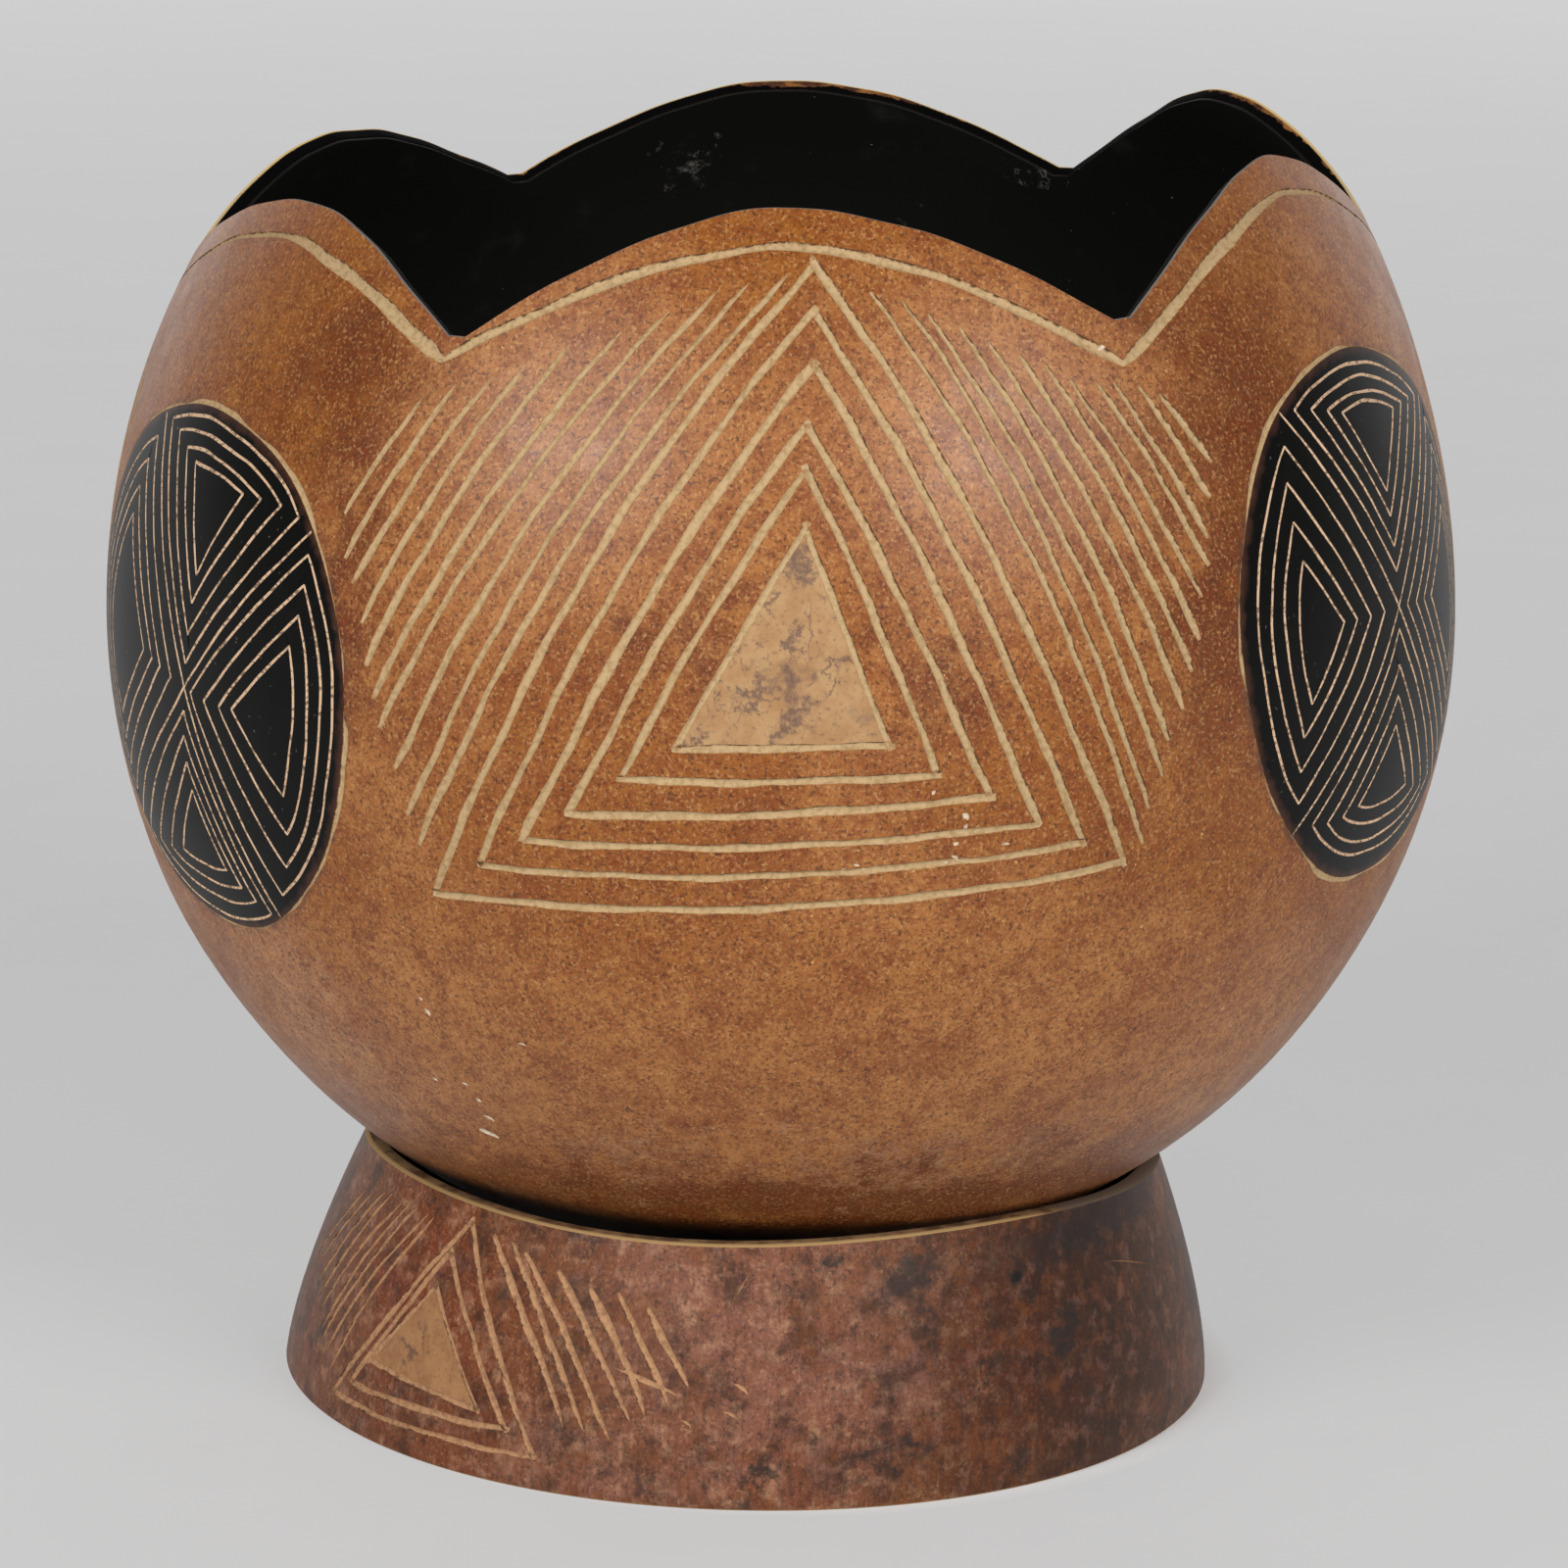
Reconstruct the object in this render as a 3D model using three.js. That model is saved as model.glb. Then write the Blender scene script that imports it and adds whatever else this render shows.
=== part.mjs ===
import * as THREE from 'three';
import { mergeVertices } from 'three/addons/utils/BufferGeometryUtils.js';

// Calabash bowl with a hand-cut scalloped rim, blackened inside, standing loose in a foot ring
// cut from a second gourd. Millimetres, +Z up. The origin is on the ground under the middle of
// the bowl, the front faces -Y, and azimuths are degrees from the front, positive towards +X.

// Bowl: outside sizes, measured from its widest level
const BOWL_RADIUS = 110;
const BOWL_DEPTH = 107.5;
const BOWL_DOME = 121; // height at which the upper half would close if it were left uncut
const BOWL_WALL = 2.4;
const BOWL_DRIFT = 5.7; // how far the upper half has grown towards +X by the height where it would close
const BOWL_LEAN = 3; // degrees, left side down, as it has settled in its ring

// Rim, cut by eye: the notches in order round the bowl, and the scallop top that follows each
const NOTCH_RISE = 61;
const TOP_RISE = 77;
const NOTCHES = [
  { azimuth: -29.5, rise: 0.975 * NOTCH_RISE },
  { azimuth: 32.5, rise: 0.967 * NOTCH_RISE },
  { azimuth: 88, rise: 1.016 * NOTCH_RISE },
  { azimuth: 148, rise: 1.008 * NOTCH_RISE },
  { azimuth: 210, rise: 1.033 * NOTCH_RISE },
  { azimuth: 270, rise: NOTCH_RISE },
];
const SCALLOP_TOPS = [
  { azimuth: 0, rise: 1.004 * TOP_RISE },
  { azimuth: 62, rise: TOP_RISE },
  { azimuth: 116.5, rise: 1.026 * TOP_RISE },
  { azimuth: 181, rise: 1.013 * TOP_RISE },
  { azimuth: 243, rise: 0.994 * TOP_RISE },
  { azimuth: 303, rise: 0.982 * TOP_RISE },
];
const SCALLOP_POWER = 1.85; // 2 would be a parabola, 1 a straight-sided point
const NOTCH_FLAT = 3; // width of the blunt cut at the bottom of a notch

// Black sealing coat brushed over the inside of the bowl
const COAT_THICKNESS = 0.5;
const COAT_CLEARANCE = 0.3;

// Foot ring: outside radii, and its height under a level, centred bowl
const RING_BASE_RADIUS = 77.5;
const RING_TOP_RADIUS = 66;
const RING_HEIGHT = 40;
const RING_WALL = 2.8;
const RING_BULGE = 1.41; // 1 would be a straight cone, more keeps the foot upright near the ground
const RING_X = -3.1; // middle of the ring's base, from under the middle of the bowl
const RING_SKEW_X = 2.1; // how far the middle of its rim sits from the middle of its base
const RING_SKEW_Y = -5.5;

// Ring rim: trimmed to the bowl on three high spots, and cut lower between them
const SEAT_COUNT = 3;
const SEAT_AZIMUTH = 45; // the first high spot
const RIM_DIP = 2.8;
const SEAT_CLEARANCE = 0.3;

// Facets
const ARCH_STEPS = 10; // along one scallop
const LOWER_STEPS = 10; // from the bottom of the bowl to its widest level
const UPPER_STEPS = 6; // from the widest level to the rim
const RING_COLUMNS = 72;
const RING_STEPS = 6;

const GOURD_SKIN = { color: 0xa5672f, roughness: 0.55, metalness: 0 };
const BLACK_COAT = { color: 0x121211, roughness: 0.7, metalness: 0 };
const STAINED_GOURD = { color: 0x6b4231, roughness: 0.6, metalness: 0 };

const radians = THREE.MathUtils.degToRad;
const SEAT_RADIUS = RING_TOP_RADIUS - RING_WALL;
const BOWL_CENTRE_Z =
  RING_HEIGHT + SEAT_CLEARANCE + BOWL_DEPTH * Math.sqrt(1 - (SEAT_RADIUS / BOWL_RADIUS) ** 2);

/** A point at a radius and height, turned to an azimuth from the front. */
function roundAxis(azimuth, radius, height) {
  const angle = radians(azimuth);
  return new THREE.Vector3(radius * Math.sin(angle), -radius * Math.cos(angle), height);
}

/** Joins closed sections, in order of azimuth, into one closed skin round the axis. */
function loftRound(sections) {
  const rows = sections[0].length;
  const points = sections.flat();
  const index = [];
  const addTriangle = (a, b, c) => {
    const corners = [points[a], points[b], points[c]];
    const flat = corners.some((point, i) => point.distanceTo(corners[(i + 1) % 3]) < 1e-9);
    if (!flat) index.push(a, b, c);
  };
  sections.forEach((section, i) => {
    const here = i * rows;
    const next = ((i + 1) % sections.length) * rows;
    section.forEach((point, row) => {
      const above = (row + 1) % rows;
      addTriangle(here + row, next + row, next + above);
      addTriangle(here + row, next + above, here + above);
    });
  });
  const skin = new THREE.BufferGeometry().setFromPoints(points);
  skin.setIndex(index);
  const closed = mergeVertices(skin);
  closed.computeVertexNormals();
  return closed;
}

/** Azimuth and rim height of each column round the bowl: arched scallops between blunt notches. */
function rimColumns() {
  const notchRadius = (rise) => BOWL_RADIUS * Math.sqrt(1 - (rise / BOWL_DOME) ** 2);
  const halfFlat = (rise) => THREE.MathUtils.radToDeg(NOTCH_FLAT / 2 / notchRadius(rise));
  return NOTCHES.flatMap((left, i) => {
    const right = NOTCHES[(i + 1) % NOTCHES.length];
    const top = SCALLOP_TOPS[i];
    const lap = i + 1 === NOTCHES.length ? 360 : 0;
    const start = left.azimuth + halfFlat(left.rise);
    const end = right.azimuth + lap - halfFlat(right.rise);
    return Array.from({ length: ARCH_STEPS + 1 }, (_, step) => {
      const across = (2 * step) / ARCH_STEPS - 1;
      const [notch, edge] = across < 0 ? [left, start] : [right, end];
      const drop = (top.rise - notch.rise) * Math.abs(across) ** SCALLOP_POWER;
      return {
        azimuth: THREE.MathUtils.lerp(top.azimuth, edge, Math.abs(across)),
        rise: top.rise - drop,
      };
    });
  });
}

/** A point on the bowl's half-ellipsoids, set in from the outside along the wall's normal. */
function wallPoint(azimuth, slope, inset) {
  const reach = slope < 0 ? BOWL_DEPTH : BOWL_DOME;
  const normal = new THREE.Vector2(Math.cos(slope) / BOWL_RADIUS, Math.sin(slope) / reach);
  normal.normalize();
  const point = roundAxis(
    azimuth,
    BOWL_RADIUS * Math.cos(slope) - inset * normal.x,
    reach * Math.sin(slope) - inset * normal.y,
  );
  if (slope > 0) point.x += BOWL_DRIFT * Math.sin(slope) ** 2;
  return point;
}

/** A layer of the bowl's wall between two insets, with its rim cut square to the wall. */
function bowlLayer(outerInset, innerInset) {
  const sections = rimColumns().map(({ azimuth, rise }) => {
    const rimSlope = Math.asin(rise / BOWL_DOME);
    const slopes = [];
    for (let step = LOWER_STEPS; step > 0; step--) slopes.push((-Math.PI / 2) * (step / LOWER_STEPS));
    for (let step = 0; step <= UPPER_STEPS; step++) slopes.push(rimSlope * (step / UPPER_STEPS));
    const outside = slopes.map((slope) => wallPoint(azimuth, slope, outerInset));
    const inside = slopes.map((slope) => wallPoint(azimuth, slope, innerInset));
    return [...outside, ...inside.reverse()];
  });
  return loftRound(sections);
}

/** Height of the leaning bowl's underside, from its centre, over a point of the ground. */
function undersideAt(x, y) {
  const upright = new THREE.Matrix4().makeRotationY(radians(BOWL_LEAN));
  const unit = new THREE.Vector3(1 / BOWL_RADIUS, 1 / BOWL_RADIUS, 1 / BOWL_DEPTH);
  const foot = new THREE.Vector3(x, y, 0).applyMatrix4(upright).multiply(unit);
  const rise = new THREE.Vector3(0, 0, 1).applyMatrix4(upright).multiply(unit);
  const across = foot.dot(rise);
  const discriminant = across ** 2 - rise.lengthSq() * (foot.lengthSq() - 1);
  return (-across - Math.sqrt(discriminant)) / rise.lengthSq();
}

/** Height of the ring's rim: just under the bowl at the seats, dipping between them. */
function ringTop(azimuth) {
  const corner = roundAxis(azimuth, SEAT_RADIUS, 0);
  const overX = corner.x + RING_X + RING_SKEW_X;
  const overY = corner.y + RING_SKEW_Y;
  const underside = BOWL_CENTRE_Z + undersideAt(overX, overY);
  const dip = (1 - Math.cos(SEAT_COUNT * radians(azimuth - SEAT_AZIMUTH))) / 2;
  return underside - SEAT_CLEARANCE - RIM_DIP * dip;
}

/** The foot ring: a slightly bulging, oblique cone frustum with a flat base and a trimmed rim. */
function footRing() {
  const sections = Array.from({ length: RING_COLUMNS }, (_, column) => {
    const azimuth = (360 * column) / RING_COLUMNS;
    const top = ringTop(azimuth);
    const levels = Array.from({ length: RING_STEPS + 1 }, (_, step) => step / RING_STEPS);
    const taper = RING_BASE_RADIUS - RING_TOP_RADIUS;
    const wallAt = (level, inset) => {
      const radius = RING_TOP_RADIUS + taper * (1 - level ** RING_BULGE) - inset;
      const point = roundAxis(azimuth, radius, top * level);
      return point.add(new THREE.Vector3(RING_SKEW_X * level, RING_SKEW_Y * level, 0));
    };
    const outside = levels.map((level) => wallAt(level, 0));
    const inside = levels.map((level) => wallAt(level, RING_WALL));
    return [...outside, ...inside.reverse()];
  });
  return loftRound(sections);
}

/** A named piece in its own finish. */
function piece(name, geometry, finish) {
  const mesh = new THREE.Mesh(geometry, new THREE.MeshStandardMaterial(finish));
  mesh.name = name;
  return mesh;
}

const coatInset = BOWL_WALL + COAT_CLEARANCE;
const bowl = new THREE.Group();
bowl.position.z = BOWL_CENTRE_Z;
bowl.rotation.y = -radians(BOWL_LEAN);
bowl.add(
  piece('bowl_shell', bowlLayer(0, BOWL_WALL), GOURD_SKIN),
  piece('inside_coat', bowlLayer(coatInset, coatInset + COAT_THICKNESS), BLACK_COAT),
);

const foot = piece('foot_ring', footRing(), STAINED_GOURD);
foot.position.x = RING_X;

const planter = new THREE.Group();
planter.add(bowl, foot);

export default planter;
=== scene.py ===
"""Carved calabash bowl with a scalloped rim, standing loose in a stained gourd foot ring.

Lengths are millimetres until a mesh is made, and metres in the mesh. Azimuths are degrees from the
front, which faces -Y, and positive towards +X.
"""
import logging
import math
from collections.abc import Callable
from dataclasses import dataclass, field
from enum import Enum, IntEnum

import bpy
import numpy as np
from mathutils import Matrix, Vector
from mathutils.geometry import delaunay_2d_cdt


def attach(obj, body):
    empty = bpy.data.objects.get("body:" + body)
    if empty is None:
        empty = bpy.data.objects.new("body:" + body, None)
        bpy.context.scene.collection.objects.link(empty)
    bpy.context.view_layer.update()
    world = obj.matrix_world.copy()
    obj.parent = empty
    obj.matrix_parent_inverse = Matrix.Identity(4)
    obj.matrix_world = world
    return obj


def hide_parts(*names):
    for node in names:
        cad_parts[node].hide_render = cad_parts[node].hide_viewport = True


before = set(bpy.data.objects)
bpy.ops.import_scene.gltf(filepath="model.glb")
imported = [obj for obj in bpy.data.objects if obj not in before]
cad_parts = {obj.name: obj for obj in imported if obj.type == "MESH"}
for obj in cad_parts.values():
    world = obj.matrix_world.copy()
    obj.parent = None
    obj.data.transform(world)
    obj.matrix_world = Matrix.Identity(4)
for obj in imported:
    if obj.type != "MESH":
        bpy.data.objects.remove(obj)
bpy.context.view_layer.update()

LOG = logging.getLogger("carved_planter")
Array = np.ndarray
Point = tuple[float, float]
Marks = tuple[tuple[float, ...], ...]
ArrayMap = Callable[[Array], Array]
Socket = bpy.types.NodeSocket
Material = bpy.types.Material
MM = 1000.0  # millimetres in a metre
HEXAGON = 0.87  # distance between the rows of an even grid of triangles, as a share of their sides
INSIDE_ONLY = 1  # asks Blender's triangulation for what the given edges enclose
MERGED = 1e-4  # points of a plan closer than this, mm, become one


def linear(code: str) -> tuple[float, float, float, float]:
    """Turns an sRGB hex colour into linear light.

    Args:
        code: the colour as "#rrggbb".

    Returns:
        Linear red, green and blue, with an alpha of 1.
    """
    parts = np.array([int(code[i:i + 2], 16) for i in (1, 3, 5)]) / 255.0
    light = np.where(parts <= 0.04045, parts / 12.92, ((parts + 0.055) / 1.055) ** 2.4)
    return (*light.tolist(), 1.0)


def unit(vectors: Array) -> Array:
    """Vectors scaled to length 1, row by row."""
    return vectors / np.linalg.norm(vectors, axis=-1, keepdims=True)


def toward(azimuth: Array, slope: Array) -> Array:
    """Unit directions (cos s sin a, -cos s cos a, sin s) for azimuths a and slopes s in radians."""
    flat = np.cos(slope)
    return np.stack([flat * np.sin(azimuth), -flat * np.cos(azimuth), np.sin(slope)], axis=-1)


class Region(IntEnum):
    """What a face of a carved skin shows, in the order of its material slots."""

    SKIN = 0
    GOUGED = 1
    BLACKENED = 2
    SCRAPED = 3
    FLAKED = 4
    CUT_EDGE = 5
    PITH = 6
    SCRATCHED = 7


class End(Enum):
    """How a cut of the gouge ends: pushed out of the skin, rounded, or stopped square."""

    TAPER = 0.12
    ROUND = 0.5
    BLUNT = 0.85


@dataclass
class Stroke:
    """One cut of the gouge in a flat plan of a skin.

    Attributes:
        path: points along the middle of the cut, in the plan.
        half_width: half the width of the cut at each point, mm.
        depth: depth of its floor, mm.
        region: what the cut shows.
        closed: whether the path joins up with itself.
        floor: share of the half width that is flat at the bottom.
    """

    path: Array
    half_width: Array
    depth: float
    region: Region = Region.GOUGED
    closed: bool = False
    floor: float = 0.5

    def rails(self, scale: ArrayMap) -> list[tuple[Array, bool]]:
        """Lines that the cut draws in the plan: its edges and the two sides of its floor.

        Each line is the path moved sideways along its normal by a share of the half width.

        Args:
            scale: millimetres for a unit of the plan at given points.

        Returns:
            Pairs of points and whether the line closes.
        """
        path = self.path
        if self.closed:
            steps = np.roll(path, -1, axis=0) - np.roll(path, 1, axis=0)
        else:
            steps = np.gradient(path, axis=0)
        side = unit(np.stack([-steps[:, 1], steps[:, 0]], axis=1)) * (self.half_width / scale(path))[:, None]
        inner = slice(None) if self.closed else slice(1, -1)
        floors = [((path + share * side)[inner], self.closed) for share in (self.floor, -self.floor)]
        if self.closed:
            return [(path + side, True), (path - side, True), *floors]
        return [(np.vstack([path + side, (path - side)[::-1]]), True), *floors]


@dataclass
class Cuts:
    """What the strokes do at a set of places of a plan.

    Attributes:
        depth: depth below the skin, mm.
        across: 0 in the middle of a cut, 1 at its edge and outside it.
        side: across, negative to the right of the cut's path.
        region: value of the Region that the cut shows there.
    """

    depth: Array
    across: Array
    side: Array
    region: Array


@dataclass
class Carving:
    """A carved skin, still flat.

    Attributes:
        places: points of its plan, the outline's first and in its order.
        faces: counter-clockwise triangles.
        cuts: what the strokes do at the places.
        regions: value of the Region that each face shows.
    """

    places: Array
    faces: Array
    cuts: Cuts
    regions: Array

    def slots(self, strips: list[Array], pith: range) -> Array:
        """Material slots of the skin's faces and of the strips that close it up.

        Args:
            strips: triangles of each strip.
            pith: numbers of the strips on the inside; the others are cut edges.

        Returns:
            Values of Region.
        """
        kinds = [Region.PITH if number in pith else Region.CUT_EDGE for number in range(len(strips))]
        closing = [np.full(len(part), kind) for part, kind in zip(strips, kinds)]
        return np.concatenate([self.regions, *closing])


@dataclass
class Plan:
    """A skin laid flat for carving.

    Attributes:
        outline: points round its edge, counter-clockwise.
        strokes: the cuts in it.
        scale: millimetres for a unit of the plan at given points.
    """

    outline: Array
    strokes: list[Stroke]
    scale: ArrayMap

    def cuts_at(self, places: Array, spare: float = 0.0) -> Cuts:
        """Works out the deepest and the nearest cut at each place.

        A cut falls from its edges to its floor in a straight slope: depth = full depth * (1 - d) / (1 - f),
        at most the full depth, with d the distance from the middle and f the flat floor, both as shares of
        the half width there.

        Args:
            places: points of the plan.
            spare: millimetres by which every cut is widened.

        Returns:
            The cuts at the places.
        """
        count = len(places)
        margin = 1.05  # so that rounding leaves no place out
        cuts = Cuts(np.zeros(count), np.ones(count), np.ones(count), np.full(count, -1))
        scale = self.scale(places)
        for stroke in self.strokes:
            path, half = stroke.path, stroke.half_width + spare
            if stroke.closed:
                path, half = np.vstack([path, path[:1]]), np.append(half, half[:1])
            reach = margin * (half / self.scale(path)).max()
            inside = (places > path.min(0) - reach) & (places < path.max(0) + reach)
            near = np.flatnonzero(inside.all(axis=1))
            if not near.size:
                continue
            legs = np.diff(path, axis=0)
            away = places[near, None] - path[None, :-1]
            along = np.clip((away * legs).sum(2) / (legs * legs).sum(1), 0.0, 1.0)
            distance = np.linalg.norm(away - along[..., None] * legs, axis=2)
            closest = distance.argmin(axis=1)
            rows = np.arange(len(near))
            width = half[closest] + along[rows, closest] * np.diff(half)[closest]
            share = distance[rows, closest] * scale[near] / width
            fall = stroke.depth * np.clip((1.0 - share) / (1.0 - stroke.floor), 0.0, 1.0)
            cuts.depth[near] = np.maximum(cuts.depth[near], fall)
            nearer = share < cuts.across[near]
            leg, off = legs[closest], away[rows, closest]
            left = leg[:, 0] * off[:, 1] - leg[:, 1] * off[:, 0] >= 0.0
            cuts.across[near[nearer]] = share[nearer]
            cuts.side[near[nearer]] = np.where(left, share, -share)[nearer]
            cuts.region[near[nearer]] = stroke.region
        return cuts

    def triangulate(self, spread: Array, clear: float) -> tuple[Array, Array]:
        """Fills the outline with triangles whose edges follow every line of every cut.

        Args:
            spread: points that fill the skin between the cuts.
            clear: millimetres within which a cut pushes these points away.

        Returns:
            Points of the plan, the outline's first and in its order, and counter-clockwise triangles.
        """
        free = spread[self.cuts_at(spread, clear).across >= 1.0]
        lines = [(self.outline, True)]
        for stroke in self.strokes:
            lines += stroke.rails(self.scale)
        starts = np.cumsum([0] + [len(points) for points, _ in lines])
        edges = []
        for (points, closed), start in zip(lines, starts):
            here = start + np.arange(len(points))
            edges.append(np.stack([here, np.roll(here, -1)], axis=1)[:None if closed else -1])
        points = np.vstack([points for points, _ in lines] + [free])
        flat = [Vector(point) for point in points.tolist()]
        found = delaunay_2d_cdt(flat, np.vstack(edges).tolist(), [], INSIDE_ONLY, MERGED, False)
        places, faces = np.array(found[0], dtype=float), np.array(found[2], dtype=int)
        doubtful = np.flatnonzero((faces < len(self.outline)).all(axis=1))
        outside = doubtful[~self.holds(places[faces[doubtful]].mean(axis=1))]
        return places, np.delete(faces, outside, axis=0)

    def carve(self, spread: Array, clear: float, shows: ArrayMap, scraped: float) -> Carving:
        """Triangulates the skin and works out what its points and faces show.

        Args:
            spread: points that fill the skin between the cuts.
            clear: millimetres within which a cut pushes these points away.
            shows: values of Region between the cuts, at points of the plan.
            scraped: depth of a scraped patch, mm.

        Returns:
            The carved skin.
        """
        places, faces = self.triangulate(spread, clear)
        cuts = self.cuts_at(places)
        bare = shows(places) == Region.SCRAPED
        cuts.depth = np.maximum(cuts.depth, np.where(bare, scraped, 0.0))
        middles = places[faces].mean(axis=1)
        over = self.cuts_at(middles)
        return Carving(places, faces, cuts, np.where(over.across < 1.0, over.region, shows(middles)))

    def holds(self, places: Array) -> Array:
        """Finds the places inside the outline: a ray to the right crosses it an odd number of times.

        Args:
            places: points of the plan.

        Returns:
            Whether each lies inside.
        """
        a, b = self.outline, np.roll(self.outline, -1, axis=0)
        x, y = places[:, :1], places[:, 1:]
        level = (a[:, 1] > y) != (b[:, 1] > y)
        rise = np.where(a[:, 1] == b[:, 1], 1.0, b[:, 1] - a[:, 1])
        crossing = level & (x < a[:, 0] + (y - a[:, 1]) * (b[:, 0] - a[:, 0]) / rise)
        return crossing.sum(axis=1) % 2 == 1


@dataclass
class Hand:
    """The carver's hand: seeded, so that each piece comes out the same every time.

    Attributes:
        seed: start of its random numbers.
        step: distance between the points of a path, mm.
        random: what its faults are drawn from.
    """

    seed: int
    step: float = 1.7
    random: np.random.Generator = field(init=False)

    def __post_init__(self) -> None:
        """Starts the random numbers."""
        self.random = np.random.default_rng(self.seed)

    def drift(self, count: int, amount: float, period: float) -> Array:
        """A slow unsteadiness: three sines of falling size whose phases are drawn.

        Args:
            count: number of points.
            amount: its largest value.
            period: points for one turn of the slowest sine.

        Returns:
            One value for each point.
        """
        paces, sizes = np.array([[1.0, 2.3, 4.1], [0.55, 0.3, 0.15]])
        turns = np.arange(count)[:, None] * paces / period
        waves = np.sin(2 * np.pi * (turns + self.random.random(3)))
        return amount * waves @ sizes

    def jitter(self, amount: float) -> Array:
        """A small shift of a point, either way in both directions."""
        return self.random.uniform(-amount, amount, 2)

    def line(self, start: Array, end: Array, bow: float = 0.0, shake: float = 0.12) -> Array:
        """A hand-drawn line: straight, bowed sideways by a parabola and a little unsteady.

        Args:
            start: first point, mm.
            end: last point, mm.
            bow: how far its middle stands to the left of the straight line, mm.
            shake: unsteadiness, mm.

        Returns:
            Points along the line.
        """
        start, end = np.asarray(start, float), np.asarray(end, float)
        length = np.linalg.norm(end - start)
        count = max(5, int(length / self.step) + 2)
        along = np.linspace(0.0, 1.0, count)[:, None]
        left = np.array([start[1] - end[1], end[0] - start[0]]) / length
        aside = 4 * bow * along[:, 0] * (1 - along[:, 0]) + self.drift(count, shake, 14.0)
        return start + along * (end - start) + aside[:, None] * left

    def gouge(self, path: Array, width: Array | float, depth: float, ends: tuple[End, End], taper: float,
              floor: float = 0.5, region: Region = Region.GOUGED) -> Stroke:
        """A cut along a path, with a width that varies and ends that are blunt or run out.

        Args:
            path: points of the plan.
            width: usual width, mm, or one for each point.
            depth: depth, mm.
            ends: how it starts and how it stops.
            taper: length over which an end narrows, in points of the path.
            floor: share of the half width that is flat at the bottom.
            region: what it shows.

        Returns:
            The stroke.
        """
        count = len(path)
        place = np.arange(count)
        half = 0.5 * width * (1.0 + self.drift(count, 0.22, 16.0))
        half *= 1.0 + self.random.uniform(-0.03, 0.03, count)
        reach = min(taper, 0.4 * count)
        for end, far in ((ends[0], place), (ends[1], place[::-1])):
            half *= end.value + (1.0 - end.value) * np.clip(far / reach, 0.0, 1.0) ** 0.6
        return Stroke(path, half, depth, region, floor=floor)


@dataclass(frozen=True)
class Patch:
    """A flat sheet laid on the bowl for drawing, in mm about a centre.

    A point at distance r and bearing b goes r / R along the great circle that leaves the centre at b.

    Attributes:
        azimuth: of its centre, degrees.
        slope: of its centre, degrees above the widest level.
        radius: radius of the round that it is laid on, mm.
    """

    azimuth: float
    slope: float
    radius: float

    def axes(self) -> tuple[Array, Array, Array]:
        """Works out the sheet's frame.

        Returns:
            The centre's direction, and the directions to its right and up from it.
        """
        a, s = math.radians(self.azimuth), math.radians(self.slope)
        centre = np.array([math.cos(s) * math.sin(a), -math.cos(s) * math.cos(a), math.sin(s)])
        right = np.array([math.cos(a), math.sin(a), 0.0])
        return centre, right, np.cross(centre, right)

    def lay(self, points: Array) -> Array:
        """Wraps flat points: cos(r/R) centre + sin(r/R) (right cos b + up sin b).

        Args:
            points: mm.

        Returns:
            Unit directions.
        """
        centre, right, up = self.axes()
        far = np.linalg.norm(points, axis=1)
        bearing = points / np.maximum(far, 1e-9)[:, None]
        turn = (far / self.radius)[:, None]
        return np.cos(turn) * centre + np.sin(turn) * (bearing[:, :1] * right + bearing[:, 1:] * up)

    def lift(self, ways: Array) -> Array:
        """Flattens directions, the inverse of lay.

        Args:
            ways: unit directions.

        Returns:
            Flat points, mm.
        """
        centre, right, up = self.axes()
        flat = np.stack([ways @ right, ways @ up], axis=1)
        turn = np.arccos(np.clip(ways @ centre, -1.0, 1.0))
        return flat * (self.radius * turn / np.maximum(np.linalg.norm(flat, axis=1), 1e-9))[:, None]


def along_guide(guide: tuple[Point, ...], count: int) -> Array:
    """Even steps along a line of guide points.

    Args:
        guide: points, mm.
        count: number of steps' ends.

    Returns:
        The points at even shares of the guide's number of legs.
    """
    points = np.asarray(guide, float)
    at = np.linspace(0.0, len(points) - 1.0, count)
    return np.stack([np.interp(at, np.arange(len(points)), points[:, k]) for k in (0, 1)], axis=1)


def nicks(marks: Marks, hand: Hand, lay: ArrayMap, region: Region) -> list[Stroke]:
    """Short shallow cuts.

    Args:
        marks: middle x and y, length and width, mm, and tilt, degrees, of each.
        hand: whose faults they have.
        lay: from flat millimetres to the plan.
        region: what they show.

    Returns:
        One stroke for each mark.
    """
    cuts = []
    depth = 0.22
    for x, y, length, width, tilt in marks:
        middle, turn = np.array([x, y]), math.radians(tilt)
        half = 0.5 * length * np.array([math.cos(turn), math.sin(turn)])
        bow = min(0.12 * length, 0.35)
        line = hand.line(middle - half, middle + half, bow, 0.1)
        cuts.append(hand.gouge(lay(line), width, depth, (End.TAPER, End.TAPER), 2.5, 0.6, region))
    return cuts


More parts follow.
